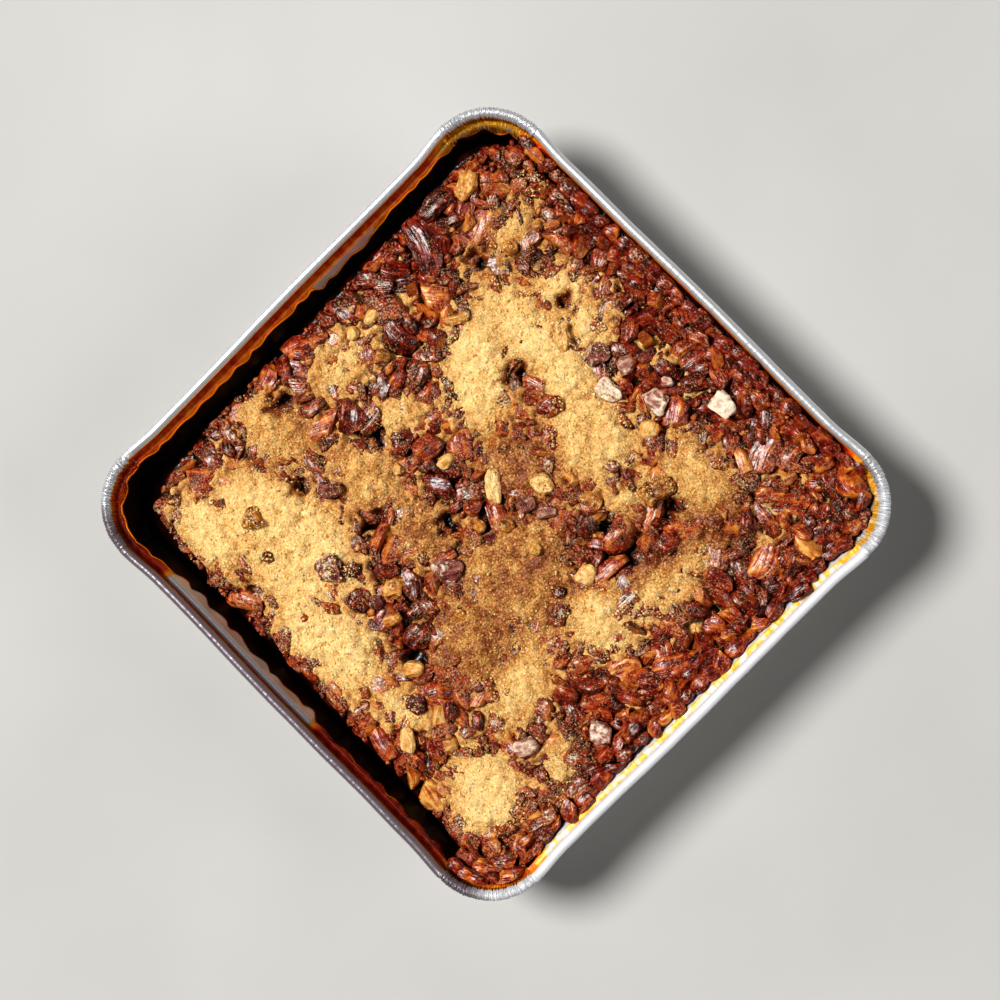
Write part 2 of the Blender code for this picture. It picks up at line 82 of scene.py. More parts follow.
# Crumb strewn thinly over the pecans: centre x and y and reach in mm, and how thickly, 0 to 1.
STREWN = (
    (68, 70, 36, 0.75), (15, 86, 40, 0.35), (76, 4, 32, 0.3), (-76, 80, 26, 0.5),
    (86, -80, 26, 0.45), (13, -88, 30, 0.3), (-60, 40, 30, 0.2), (60, -10, 26, 0.4),
)
# Pits that open through the crumb onto the syrup: centre x and y, reach. All in mm.
PITS = (
    (-25, 37, 5.0), (-26, -33, 5.0), (-47, -12, 5.0), (43, 42, 5.5), (32, 24, 5.0),
    (-52, -43, 4.5), (18, -56, 5.0), (-62, 57, 5.0), (-6, -16, 4.0), (-31, 68, 4.0),
    (-78, -28, 4.5), (0, -3, 4.0), (-38, -82, 2.5), (6, -9, 3.5), (46, 21, 4.0),
)
# Loose pecans: x, y, length, width, height in mm, turn in degrees, share cut off each end, kind
# and tone. The tone runs from dark at 0 to light at 1.
LOOSE_PECANS = (
    (32.5, 79.5, 10, 8.5, 5.5, 75, 0.16, 0.20, "pale", 0.95),
    (15, 65, 11, 8, 4.6, -5, 0.12, 0.18, "pale", 0.55),
    (0.5, 56, 12, 6.5, 4.4, 8, 0.0, 0.20, "pale", 0.80),
    (-10, 62, 10, 8, 4.6, 25, 0.20, 0.12, "pale", 0.25),
    (-24, 58.5, 12, 5.5, 4.2, -38, 0.0, 0.16, "tan", 0.65),
    (-9, 38, 10, 7.5, 4.6, 20, 0.20, 0.05, "glazed", 0.45),
    (23, 26, 9, 7, 4.6, 10, 0.1, 0.2, "tan", 0.30),
    (37, 43, 14, 8, 5, 75, 0.0, 0.15, "tan", 0.15),
    (52, 33, 10, 8, 4.6, 30, 0.15, 0.15, "glazed", 0.40),
    (8, 17, 9, 7, 4.4, 70, 0.1, 0.2, "tan", 0.85),
    (-4, 5, 13, 5.5, 4.2, -38, 0.0, 0.0, "tan", 0.95),
    (40, 6, 9, 7.5, 4.6, 15, 0.1, 0.2, "tan", 0.75),
    (43, -10, 10, 6, 4.2, -60, 0.0, 0.2, "glazed", 0.35),
    (-37, -7, 10, 8, 4.8, 40, 0.2, 0.15, "glazed", 0.30),
    (-56, -13, 14, 11, 5.6, -50, 0.1, 0.15, "glazed", 0.30),
    (5, -27, 12, 7, 4.4, 50, 0.0, 0.15, "pale", 0.32),
    (-24, -56, 12, 8.5, 4.6, -15, 0.12, 0.12, "pale", 0.28),
    (-9, -57, 10, 7, 4.4, 10, 0.15, 0.1, "glazed", 0.28),
    (-4, -45, 10, 7.5, 4.6, 60, 0.1, 0.2, "tan", 0.45),
    (14, -51, 11, 8.5, 5, 80, 0.12, 0.1, "glazed", 0.30),
    (-56, -63, 9, 7.5, 4.4, 70, 0.15, 0.2, "tan", 0.25),
    (82, -29, 10, 7.5, 4.8, 20, 0.12, 0.2, "pale", 0.60),
    (84, 6, 17, 9, 5.2, 62, 0.0, 0.0, "glazed", 0.55),
    (73, 37, 12, 6.5, 4.6, 5, 0.0, 0.1, "glazed", 0.42),
    (84, 25, 10, 8, 4.8, 20, 0.15, 0.15, "glazed", 0.60),
    (-79.5, 46, 22, 9.5, 5.4, -18, 0.0, 0.0, "glazed", 0.28),
    (-87, 60, 15, 8, 5.2, 85, 0.05, 0.0, "glazed", 0.20),
    (-84, 72, 12, 6.5, 4.6, -58, 0.0, 0.1, "tan", 0.50),
    (14, 85.5, 14, 8.5, 5.2, 80, 0.0, 0.05, "glazed", 0.38),
)
# Smaller loose pieces: x, y, length and width in mm, turn in degrees, kind and tone.
SMALL_PECANS = (
    (-63.5, 9.0, 7, 5, 60, "tan", 0.35), (-60.5, 1.5, 4, 3, 20, "tan", 0.55),
    (-75.5, 16.5, 8, 4.5, 105, "tan", 0.80), (-76.5, 7.5, 5.5, 4, 140, "tan", 0.85),
    (-43.5, -36.2, 9.6, 6, 45, "pale", 0.28), (-18.6, -50.5, 6.5, 6, 45, "pale", 0.15),
    (-42.5, -68.5, 4.5, 3.5, 130, "glazed", 0.35), (-21.7, -0.9, 8, 4.5, 85, "tan", 0.85),
    (-31.4, -14.5, 5, 4, 130, "tan", 0.50), (8.5, 8.5, 8, 5.5, 75, "pale", 0.35),
    (15.3, 11.4, 8, 5, 55, "pale", 0.55), (9.0, -1.6, 6.5, 5.5, 30, "tan", 0.30),
    (2.4, -8.2, 5, 4.5, 0, "tan", 0.35), (8.0, -8.0, 7.5, 5.5, 80, "pale", 0.20),
    (21.8, 0.0, 5, 4.5, 120, "tan", 0.60), (2.2, -39.9, 9, 3, 135, "glazed", 0.30),
    (-4.3, -52.7, 6, 5, 20, "pale", 0.25), (4.1, -52.4, 8, 4.5, 75, "tan", 0.40),
    (38.2, -5.3, 5, 4, 100, "glazed", 0.30), (19.4, -34.8, 5, 4, 0, "tan", 0.45),
    (21.3, -60.0, 8, 6, 45, "tan", 0.60), (30.3, -68.0, 8, 7, 130, "pale", 0.18),
    (39.2, -64.8, 9, 5.5, 125, "tan", 0.60), (40.7, -60.9, 8, 5, 135, "glazed", 0.35),
    (37.5, -78.6, 10, 5.5, 145, "tan", 0.80), (48.4, -70.1, 8, 6, 60, "tan", 0.35),
    (41.2, -48.3, 4, 4, 0, "pale", 0.20), (49.6, -56.8, 8, 4, 135, "glazed", 0.40),
    (67.8, -50.8, 10, 7, 60, "pale", 0.70), (-0.7, 66.1, 7, 6, 90, "pale", 0.60),
    (20.6, 56.9, 7.5, 6, 120, "tan", 0.75), (13.3, 72.4, 5, 4, 40, "pale", 0.65),
    (20.3, 38.8, 5, 4, 20, "pale", 0.45), (26.2, 40.6, 5, 5, 70, "glazed", 0.30),
    (28.3, 23.5, 7.5, 5, 70, "tan", 0.25), (9.2, 56.2, 8, 4, 40, "glazed", 0.60),
    (65.3, 58.1, 9, 4, 135, "glazed", 0.45), (-57.8, 67.0, 6, 6, 0, "tan", 0.50),
    (-53.5, 37.1, 9.5, 4, 60, "tan", 0.55), (-14.0, -65.5, 8, 4, 30, "glazed", 0.50),
)


# ---------------------------------------------------------------------------------------------
# Settings


def metres(name, description, default):
    """A setting in metres."""
    return FloatProperty(name=name, description=description, default=default, unit="LENGTH")


def whole(name, description, default):
    """A setting that counts pieces."""
    return IntProperty(name=name, description=description, default=default)


def hex_code(name, what, default):
    """A colour setting, as an sRGB hex code."""
    return StringProperty(name=name, description="sRGB hex of " + what, default=default)


def degrees(name, description, default):
    """An angle setting, given in degrees."""
    return FloatProperty(name=name, description=description, default=math.radians(default),
                         subtype="ANGLE")


def watts(name, description, default):
    """A light's power."""
    return FloatProperty(name=name, description=description, default=default, unit="POWER")


class PanSettings(bpy.types.PropertyGroup):
    """The foil pan."""

    rim_side: metres("Rim side", "Width across the rolled rim", round(PAN_HIGH.x - PAN_LOW.x, 4))
    height: metres("Height", "Height of the rim", round(PAN_HIGH.z, 4))
    rim_radius: metres("Rim radius", "Corner radius of the rim", 24 * MM)
    bead: metres("Bead", "Width of the rolled edge", 3.4 * MM)
    foil: metres("Foil", "Thickness of the foil", 0.25 * MM)
    pleats: whole("Pleats", "Pleats pressed into each corner", 34)
    pleat_depth: metres("Pleat depth", "How deep the pleats are at the rim", 0.9 * MM)
    foil_colour: hex_code("Foil colour", "the bare foil", "#E6E6E8")
    stain_thin: hex_code("Thin stain", "thin syrup on the foil", "#EE8E10")
    stain_thick: hex_code("Thick stain", "thick syrup on the foil", "#480A02")


class FillingSettings(bpy.types.PropertyGroup):
    """The syrup and the chopped pecans."""

    surface: metres("Surface", "Mean height of the baked surface", 31.8 * MM)
    syrup_sunk: metres("Syrup sunk", "How far the syrup lies below the tops of the nuts", 3.0 * MM)
    pieces: whole("Pieces", "Chopped pecans that are tried", 9000)
    chips: whole("Chips", "Small chips that are tried", 1800)
    longest: metres("Longest", "Length of the longest chopped piece", 15.0 * MM)
    shortest: metres("Shortest", "Length of the shortest chopped piece", 7.4 * MM)
    syrup_colour: hex_code("Syrup colour", "the baked syrup", "#1E0603")


class CrumbSettings(bpy.types.PropertyGroup):
    """The crumb topping and the sugar."""

    most: metres("Thickness", "Thickness of the crumb in a mound", 3.8 * MM)
    drift: metres("Drift", "How unevenly the crumb has run down between the pecans", 4.0 * MM)
    clods: whole("Clods", "Clods that stand out of the crumb", 9000)
    grains: whole("Grains", "Loose grains on the crumb", 8500)
    dust: whole("Dust", "Fine grains on and around the crumb", 40000)
    sugar: whole("Sugar", "Sugar specks on the pecans", 24000)
    crumb_light: hex_code("Light crumb", "dry crumb", "#E9BE7A")
    crumb_dark: hex_code("Dark crumb", "damp crumb", "#863E0B")


class StageSettings(bpy.types.PropertyGroup):
    """The floor, light and camera."""

    distance: metres("Distance", "Camera to the rim's centre", 0.70)
    tilt: degrees("Tilt", "Camera's lean from straight above", 5.5)
    seen: metres("Seen", "Width that the picture spans at the rim", 0.3405)
    aim: FloatVectorProperty(
        name="Aim", description="How far right and up of the rim's centre the camera looks",
        default=(4.0 * MM, 1.4 * MM), size=2, unit="LENGTH")
    light_height: degrees("Light height", "Key light's height above the horizon", 59)
    light_turn: degrees("Light turn", "Key light's direction from +X", 208)
    light_power: watts("Light power", "Key light's power", 112.0)
    fill_height: degrees("Fill height", "Soft light's height above the horizon", 32)
    fill_turn: degrees("Fill turn", "Soft light's direction from +X", 45)
    fill_power: watts("Fill power", "Power of the soft light from the other side", 22.0)
    floor_colour: hex_code("Floor colour", "the floor", "#B6B4B0")


# ---------------------------------------------------------------------------------------------
# Materials


def linear(code, alpha=1.0):
    """A linear colour from an sRGB hex code."""
    values = [int(code[i:i + 2], 16) / 255 for i in (1, 3, 5)]
    return (*[v / 12.92 if v <= 0.04045 else ((v + 0.055) / 1.055) ** 2.4 for v in values], alpha)


def plug(tree, node, **given):
    """Sets a node's properties and sockets, and links a socket whose value is another's output.

    A socket goes by its name, with _ for a space, or by i and its number. The stops of a colour
    ramp are pairs of a place and a hex code or a level of grey.
    """
    for key, value in given.items():
        number = key[1:] if key[1:].isdigit() else ""
        if key == "stops":
            elements = node.color_ramp.elements
            while len(elements) < len(value):
                elements.new(0.5)
            for element, (place, code) in zip(elements, value):
                element.position = place
                element.color = linear(code) if isinstance(code, str) else (code, code, code, 1)
        elif key.islower() and not number:
            setattr(node, key, value)
        else:
            socket = node.inputs[int(number) if number else key.replace("_", " ")]
            if isinstance(value, bpy.types.NodeSocket):
                tree.links.new(value, socket)
            else:
                socket.default_value = value


def add(tree, kind, out=0, **given):
    """Adds a node with its settings and links, and returns one of its outputs."""
    node = tree.nodes.new("ShaderNode" + kind)
    plug(tree, node, **given)
    return node.outputs[out]


def start(name):
    """A material of this name, its tree, its Principled shader and its object coordinates."""
    made = bpy.data.materials.new(name)
    made.use_nodes = True
    tree = made.node_tree
    return made, tree, tree.nodes["Principled BSDF"], add(tree, "TexCoord", "Object")


def stretched(tree, scale, edges, **given):
    """Noise on the piece's UV map, stretched by scale, as stripes from 0 to 1 between the edges."""
    place = add(tree, "Mapping", Scale=scale, Vector=add(tree, "UVMap", uv_map="UVMap"))
    stripe = add(tree, "TexNoise", Scale=1.0, Vector=place, **given)
    return add(tree, "ValToRGB", Fac=stripe, stops=((edges[0], 0.0), (edges[1], 1.0)))


def summed(tree, level, parts):
    """Adds sources to a level: each goes with its amount, and its middle, which changes nothing."""
    for source, amount, middle in parts:
        part = add(tree, "Math", operation="MULTIPLY_ADD", i0=source, i1=amount,
                   i2=-amount * middle)
        level = add(tree, "Math", operation="ADD", use_clamp=True, i0=level, i1=part)
    return level


def pressed_foil(pan):
    """Pressed aluminium foil, rolled bright and finely ribbed, with syrup baked onto it.

    Its attributes say how thick syrup lies on it, how far painted shade darkens it along -Y, how
    matt it is, most along +X where that paints the foil bright, and how deep its ribs are. Thin
    syrup tints it yellow and amber, and thick syrup is a maroon and then black gloss.
    """
    made, tree, shader, place = start("pressed_aluminium_foil")
    stain, film, matt, ribbed = (add(tree, "Attribute", "Fac", attribute_name=key)
                                 for key in ("stain", "film", "matt", "ribbed"))
    blotch = add(tree, "TexNoise", Scale=300.0, Detail=4.0, Roughness=0.6, Vector=place)
    shift = add(tree, "Math", operation="MULTIPLY_ADD", i0=blotch, i1=0.4, i2=-0.2)
    level = add(tree, "Math", operation="ADD", use_clamp=True, i0=stain, i1=shift)
    tint = add(tree, "ValToRGB", Fac=level, stops=(
        (0.0, pan.foil_colour), (0.17, pan.foil_colour), (0.27, "#E4AC28"), (0.38, pan.stain_thin),
        (0.50, "#CC4206"), (0.62, "#8A2006"), (0.74, pan.stain_thick), (0.88, "#140201")))
    # painted shade: the -Y bead and collar are darkened by a greyish mauve multiply
    shaded_tint = add(tree, "Mix", 2, data_type="RGBA", blend_type="MULTIPLY", Factor=film, i6=tint,
                 i7=linear("#9C9094"))
    bare = add(tree, "ValToRGB", Fac=level, stops=((0.2, 1.0), (0.34, 0.4), (0.5, 0.0)))
    # painted light: matt foil is less metallic, so its pale colour shows bright, most along +X
    bright = add(tree, "ValToRGB", Fac=matt, stops=((0.0, 1.0), (1.0, 0.1)))
    # ribs of about 1 mm that run across the rolled rim and down the walls
    ribs = stretched(tree, (820.0, 5.0, 1.0), (0.36, 0.64), Detail=1.0)
    fine = add(tree, "TexNoise", Scale=500.0, Detail=4.0, Vector=place)
    both = add(tree, "Math", operation="MULTIPLY_ADD", i0=fine, i1=0.7, i2=ribs)
    height = add(tree, "Math", operation="MULTIPLY", i0=both, i1=ribbed)
    plug(tree, shader, Base_Color=shaded_tint, Specular_IOR_Level=0.2,
         Metallic=add(tree, "Math", operation="MULTIPLY", i0=bare, i1=bright),
         Roughness=add(tree, "ValToRGB", Fac=level, stops=((0.15, 0.42), (0.4, 0.32), (0.7, 0.18))),
         Normal=add(tree, "Bump", Strength=1.0, Distance=0.45 * MM, Height=height))
    return made


def baked_syrup(colour):
    """Syrup boiled down to a hard dark caramel: nearly black, with a wet gloss."""
    made, tree, shader, place = start("baked_syrup")
    cloud = add(tree, "TexNoise", Scale=180.0, Detail=4.0, Vector=place)
    blister = add(tree, "TexNoise", Scale=420.0, Detail=3.0, Vector=place)
    plug(tree, shader, Roughness=0.25, Specular_IOR_Level=0.25,
         Base_Color=add(tree, "ValToRGB", Fac=cloud,
                        stops=((0.35, "#0B0202"), (0.55, colour), (0.75, "#4A1206"))),
         Normal=add(tree, "Bump", Strength=0.6, Distance=0.5 * MM, Height=blister))
    return made


def syrup_rind():
    """Syrup on the foil: black as burnt syrup and painted shade, maroon above, bright amber edge.
    """
    made, tree, shader, place = start("baked_on_syrup_rind")
    climb = add(tree, "Attribute", "Fac", attribute_name="climb")
    patch = add(tree, "TexNoise", Scale=120.0, Detail=4.0, Vector=place)
    level = add(tree, "Math", operation="MULTIPLY_ADD", use_clamp=True, i0=patch, i1=0.08, i2=climb)
    # painted shade: near black, as burnt syrup and as the shade in the gap by the walls
    plug(tree, shader, Roughness=0.3, Specular_IOR_Level=0.06,
         Base_Color=add(tree, "ValToRGB", Fac=level, stops=(
             (0.0, "#020000"), (0.93, "#070100"), (0.975, "#340703"), (1.0, "#E07C14"))))
    return made


def pecan_finish(name, stops, rough, coat, powder, wrinkled, patch=1300.0, gain=0.18):
    """Pecan skin with its lengthwise wrinkles, or the grainy flesh of a broken face.

    Each piece's tone attribute sets how light it is. Its dust attribute says how much sugar
    sticks to it, in specks of 1 / patch m, its near attribute how thickly crumb is strewn there,
    and its sunk attribute how deep that point lies, darkened as dark syrup and painted shade.
    """
    if name in bpy.data.materials:
        return bpy.data.materials[name]
    made, tree, shader, place = start(name)
    tone, dust, near, sunk = (add(tree, "Attribute", "Fac", attribute_name=key)
                              for key in ("tone", "dust", "near", "sunk"))
    # patches of 3 mm, specks of 0.5 mm, and wrinkles along the nut
    mottle = add(tree, "TexNoise", Scale=330.0, Detail=2.0, Roughness=0.42, Vector=place)
    fine = add(tree, "TexNoise", Scale=1500.0, Detail=2.0, Roughness=0.7, Vector=place)
    grain = stretched(tree, (14.0, 1.4, 1.0), (0.38, 0.60), Detail=2.0, Distortion=0.6)
    # painted shade: the lower a point lies among the pieces, the darker, for syrup and shade
    level = add(tree, "Math", operation="MULTIPLY_ADD", i0=sunk, i1=-0.34, i2=tone)
    amounts = (1.2, 0.30, 0.2) if wrinkled else (1.0, 0.0, 0.35)
    level = summed(tree, level, zip((mottle, grain, fine), amounts, (0.5, 0.5, 0.5)))
    tint = add(tree, "ValToRGB", Fac=level, stops=stops)
    # sugar lies on upward faces in specks, and so does crumb where it is strewn
    facing = add(tree, "SeparateXYZ", "Z", Vector=add(tree, "NewGeometry", "Normal"))
    for source, scale, reached, strewn_on in ((dust, patch, gain, powder),
                                              (near, 900.0, 0.10, "#B98250")):
        lying = add(tree, "Math", operation="MULTIPLY", use_clamp=True, i0=source, i1=facing)
        speck = add(tree, "TexNoise", Scale=scale, Detail=2.0, Vector=place)
        reach = add(tree, "Math", operation="MULTIPLY_ADD", i0=lying, i1=reached, i2=speck)
        mask = add(tree, "ValToRGB", Fac=reach, stops=((0.64, 0.0), (0.82, 0.85)))
        tint = add(tree, "Mix", 2, data_type="RGBA", Factor=mask, i6=tint, i7=linear(strewn_on))
    first = add(tree, "Math", operation="MULTIPLY_ADD", i0=grain, i1=0.34 if wrinkled else 0.0,
                i2=mottle)
    height = add(tree, "Math", operation="MULTIPLY_ADD", i0=fine, i1=0.06, i2=first)
    # the syrup on it is smoother than the nut
    plug(tree, shader, Base_Color=tint, Coat_Weight=coat, Coat_Roughness=0.28,
         Specular_IOR_Level=0.12,
         Roughness=add(tree, "ValToRGB", Fac=mottle,
                       stops=((0.35, rough * 0.7), (0.7, min(1.0, rough * 1.4)))),
         Normal=add(tree, "Bump", Strength=1.0, Distance=0.8 * MM, Height=height),
         Coat_Normal=add(tree, "Bump", Strength=1.0, Distance=0.35 * MM, Height=first))
    return made


def pecan_finishes(kind):
    """Skin and flesh materials of one kind of pecan: glazed, tan or pale."""
    if kind == "glazed":
        skin = ((0.0, "#200301"), (0.2, "#460802"), (0.42, "#741406"), (0.60, "#98300C"),
                (0.80, "#C46A20"), (1.0, "#ECB058"))
        flesh = ((0.0, "#340A02"), (0.32, "#822808"), (0.6, "#B86218"), (1.0, "#E2A650"))
        return (pecan_finish("syrup_glazed_pecan_skin", skin, 0.36, 0.65, "#C89870", True),
                pecan_finish("syrup_soaked_pecan", flesh, 0.4, 0.5, "#C89870", False))
    if kind == "tan":
        skin = ((0.0, "#5A1E08"), (0.35, "#B06A20"), (0.7, "#D89A4A"), (1.0, "#EEC880"))
        flesh = ((0.0, "#8A4412"), (0.5, "#D09244"), (1.0, "#F0CC8C"))
        return (pecan_finish("toasted_pecan_skin", skin, 0.6, 0.2, "#F0CC90", True, 700.0, 0.3),
                pecan_finish("toasted_pecan", flesh, 0.7, 0.1, "#F0CC90", False, 700.0, 0.3))
    skin = ((0.0, "#4A1614"), (0.3, "#743A34"), (0.6, "#A0685A"), (1.0, "#E8CCB0"))
    flesh = ((0.0, "#7A4A40"), (0.5, "#D0A684"), (1.0, "#F8E8D0"))
    return (pecan_finish("sugared_pecan_skin", skin, 0.8, 0.0, "#F8E6CC", True, 460.0, 0.36),
            pecan_finish("dry_pecan", flesh, 0.85, 0.0, "#F8E6CC", False, 460.0, 0.36))


def lit_through(tree, shader, reach, radius):
    """Lets light pass through the grains, as far as reach."""
    plug(tree, shader, Subsurface_Weight=0.6, Subsurface_Radius=radius, Subsurface_Scale=reach)


def brown_sugar_crumb(name, crumb, grainy):
    """Brown sugar and flour crumb: matt grains with dark gaps, darker and wetter where damp."""
    made, tree, shader, place = start(name)
    damp = add(tree, "Attribute", "Fac", attribute_name="damp")
    # grains of about 0.7 mm, finer sand of 0.3 mm, clusters of about 4 mm
    cells = add(tree, "TexVoronoi", "Distance", feature="F1", Scale=1350.0, Vector=place)
    each = add(tree, "SeparateXYZ", "X", Vector=cells.node.outputs["Color"])
    sand = add(tree, "TexNoise", Scale=3000.0, Detail=1.0, Vector=place)
    cluster = add(tree, "TexNoise", Scale=240.0, Detail=3.0, Vector=place)
    level = summed(tree, damp, ((cells, 0.36, 0.35), (each, 0.16, 0.5), (sand, 0.14, 0.5),
                                (cluster, 0.40, 0.5)))
    faint = add(tree, "Math", operation="MULTIPLY", i0=sand, i1=0.3)
    dome = add(tree, "Math", operation="MULTIPLY_ADD", i0=cells, i1=-1.0, i2=faint)
    plug(tree, shader,
         Base_Color=add(tree, "ValToRGB", Fac=level, stops=(
             (0.0, "#F8DCA0"), (0.25, crumb.crumb_light), (0.48, "#C28A46"),
             (0.72, crumb.crumb_dark), (1.0, "#5A1E04"))),
         Roughness=add(tree, "ValToRGB", Fac=damp, stops=((0.4, 0.95), (0.75, 0.3))),
         Normal=add(tree, "Bump", Strength=grainy, Distance=0.5 * MM, Height=dome))
    lit_through(tree, shader, 0.8 * MM, (1.0, 0.6, 0.3))
    return made


def sugar_crystal():
    """Grains of brown sugar stuck to the glaze: small, bright and a little glassy."""
    made, tree, shader, _ = start("sugar_crystal")
    tone = add(tree, "Attribute", "Fac", attribute_name="tone")
    plug(tree, shader, Roughness=0.35, IOR=1.54,
         Base_Color=add(tree, "ValToRGB", Fac=tone, stops=(
             (0.0, "#6A3A20"), (0.3, "#B08458"), (0.7, "#D8B68A"), (1.0, "#F2E4D0"))))
    lit_through(tree, shader, 0.6 * MM, (1.0, 0.7, 0.5))
    return made


def matt_floor(colour):
    """Plain matt board, pale and faintly uneven."""
    made, tree, shader, place = start("matt_floor")
    cloud = add(tree, "TexNoise", Scale=6.0, Detail=3.0, Vector=place)
    plug(tree, shader, Roughness=0.9,
         Base_Color=add(tree, "ValToRGB", Fac=cloud, stops=((0.3, colour), (0.7, "#C0BEBA"))))
    return made


# ---------------------------------------------------------------------------------------------
# Meshes


def place_mesh(name, mesh, finishes):
    """Makes an object of the mesh that rides on the part."""
    for finish in finishes:
        mesh.materials.append(finish)
    obj = bpy.data.objects.new(name, mesh)
    bpy.context.scene.collection.objects.link(obj)
    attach(obj, "root")
    return obj


def place_bmesh(name, bm, finish):
    """Makes a riding object of a bmesh."""
    mesh = bpy.data.meshes.new(name)
    bm.to_mesh(mesh)
    bm.free()
    return place_mesh(name, mesh, [finish])


def key_of(point):
    """A point's place as a key, rounded so that both sides of a seam agree."""
    return tuple(round(c, 6) for c in point)


def new_bmesh():
    """An empty bmesh with a UV map."""
    bm = bmesh.new()
    bm.loops.layers.uv.new("UVMap")
    return bm


def shaped_grid(columns, rows, at, marks=None):
    """A grid of faces rolled into a closed ring: at(column, row) places each point.

    It may fill marks, which holds each attribute's values by the key of the point.
    """
    bm = new_bmesh()
    bmesh.ops.create_grid(bm, x_segments=columns, y_segments=rows, size=1, calc_uvs=True)
    for vertex in bm.verts:
        column = round((vertex.co.x + 1) / 2 * columns)
        row = round((vertex.co.y + 1) / 2 * rows)
        vertex.co = at(column % columns, row)
    seam = [v for v in bm.verts if v.is_boundary]
    bmesh.ops.remove_doubles(bm, verts=seam, dist=0.001 * MM)
    for name, values in (marks or {}).items():
        layer = bm.verts.layers.float.new(name)
        for vertex in bm.verts:
            vertex[layer] = values.get(key_of(vertex.co), 0.0)
    return bm


def open_edges(bm):
    """The edges that have a face on one side only."""
    return [e for e in bm.edges if e.is_boundary]


def face_out(bm):
    """Turns every face outwards and shades it smooth."""
    bmesh.ops.recalc_face_normals(bm, faces=bm.faces)
    for face in bm.faces:
        face.smooth = True


def laid(place, turn, pitch=0.0, roll=0.0):
    """The matrix of a piece that is turned about X, Y and then Z, and moved to its place."""
    return (Matrix.Translation(place) @ Matrix.Rotation(turn, 4, "Z")
            @ Matrix.Rotation(pitch, 4, "Y") @ Matrix.Rotation(roll, 4, "X"))


def ease(share):
    """Smooth step from 0 to 1, for numbers and arrays."""
    share = np.clip(share, 0.0, 1.0)
    steps = share * share * (3 - 2 * share)
    return steps if np.ndim(steps) else float(steps)


def lumps(x, y, size, layer=0.0):
    """Noise from -1 to 1 at arrays of places, with lumps of this size."""
    places = zip(np.ravel(x), np.ravel(y))
    return np.reshape([noise.noise(Vector((a, b, layer)) / size) for a, b in places], np.shape(x))


# ---------------------------------------------------------------------------------------------
# Pan


ARC_STEPS = 4  # points to each pleat
SIDE_STEPS = 120
SYRUP_PLEATS, RIND_PLEATS, ROW_PLEATS = 12, 26, 20  # how finely other things follow a corner
LEDGE = 2 * MM
COLLAR = 5 * MM
SIDE_DRAW = 1.0 * MM
CAD_PLEAT = 0.75 * MM
CAD_FOIL = 0.45 * MM
FOOT_HALF, FOOT_RADIUS, FLOOR_EDGE = 83 * MM, 18 * MM, 4 * MM
RIM_RADIUS, BEAD, RIM_SIDE = 24 * MM, 3.4 * MM, PAN_HIGH.x - PAN_LOW.x
LEDGE_Z = PAN_HIGH.z - COLLAR
WALL_TOP_HALF = RIM_SIDE / 2 - BEAD - LEDGE
WALL_FOOT_HALF, WALL_FOOT_Z = FOOT_HALF + FLOOR_EDGE - CAD_FOIL, FLOOR_EDGE + CAD_FOIL


def wall_half(z):
    """Half the distance between opposite walls' inner faces at height z."""
    share = (z - WALL_FOOT_Z) / (LEDGE_Z - WALL_FOOT_Z)
    return WALL_FOOT_HALF + share * (WALL_TOP_HALF - WALL_FOOT_HALF)


def wall_radius(z):
    """Corner radius of the wall's inner face at height z."""
    share = (z - WALL_FOOT_Z) / (LEDGE_Z - WALL_FOOT_Z)
    return FOOT_RADIUS + share * (RIM_RADIUS - BEAD - LEDGE - FOOT_RADIUS)


def wall_distance(x, y, z):
    """Distance from places to the wall's inner face at height z, positive inside."""
    half, radius = wall_half(z) - SIDE_DRAW - CAD_PLEAT, wall_radius(z)
    past_x, past_y = np.abs(x) - (half - radius), np.abs(y) - (half - radius)
    corner = radius - np.hypot(np.maximum(past_x, 0), np.maximum(past_y, 0))
    side = half - np.maximum(np.abs(x), np.abs(y))
    return np.where((past_x > 0) & (past_y > 0), corner, side)


def around_pan(pleats):
    """For each column round the pan: corner number, share of the arc or None, share of the side."""
    columns = []
    for corner in range(4):
        steps = pleats * ARC_STEPS
        columns += [(corner, i / steps, None) for i in range(steps)]
        columns += [(corner, None, i / SIDE_STEPS) for i in range(SIDE_STEPS)]
    return columns


def on_outline(column, half, radius):
    """Place on a rounded square and the way outwards there."""
    corner, arc, side = column
    middle = half - radius
    if arc is not None:
        out = Vector((math.cos(arc * math.pi / 2), math.sin(arc * math.pi / 2)))
        place = Vector((middle, middle)) + out * radius
    else:
        out = Vector((0.0, 1.0))
        place = Vector((middle * (1 - 2 * side), half))
    turn = Matrix.Rotation(corner * math.pi / 2, 2)
    return turn @ place, turn @ out


def drawn_in(column):
    """How far the side is drawn in behind the corners, from 0 in a corner to 1."""
    side = column[2]
    if side is None:
        return 0.0
    near = min(side, 1 - side)
    return ease(near / 0.10) * (1 - 0.4 * ease((near - 0.2) / 0.3))


def near_side(x, y, side):
    """How close places lie to a side of the pan, 0 to 1; side is +X, +Y, -X or -Y as 0 to 3."""
    reach = (x, y, -x, -y)[side]
    return ease((reach - 84 * MM) / (8 * MM))


def in_corner(x, y):
    """How far places lie in a corner of the pan, 0 to 1."""
    return ease((np.minimum(np.abs(x), np.abs(y)) - 66 * MM) / (14 * MM))


def splashed(x, y, sides, corners):
    """Blends values of the sides +X, +Y, -X, -Y and of the corners ++, +-, -+, -- round the pan."""
    weights = [near_side(x, y, side) for side in range(4)]
    amount = sum(a * b for a, b in zip(sides, weights)) / (sum(weights) + 0.0001)
    corner = corners[2 * int(x <= 0) + int(y <= 0)]
    return amount + (corner - amount) * in_corner(x, y)


def bare_foil(x, y):
    """How bare the foil stayed on the -X wall, and on the -Y ledge and wall, each 0 to 1."""
    left = near_side(x, y, 2) * (1 - ease((abs(y - 24 * MM) - 12 * MM) / (5 * MM)))
    near = near_side(x, y, 3) * (1 - ease((abs(x + 26 * MM) - 32 * MM) / (8 * MM)))
    return left, near


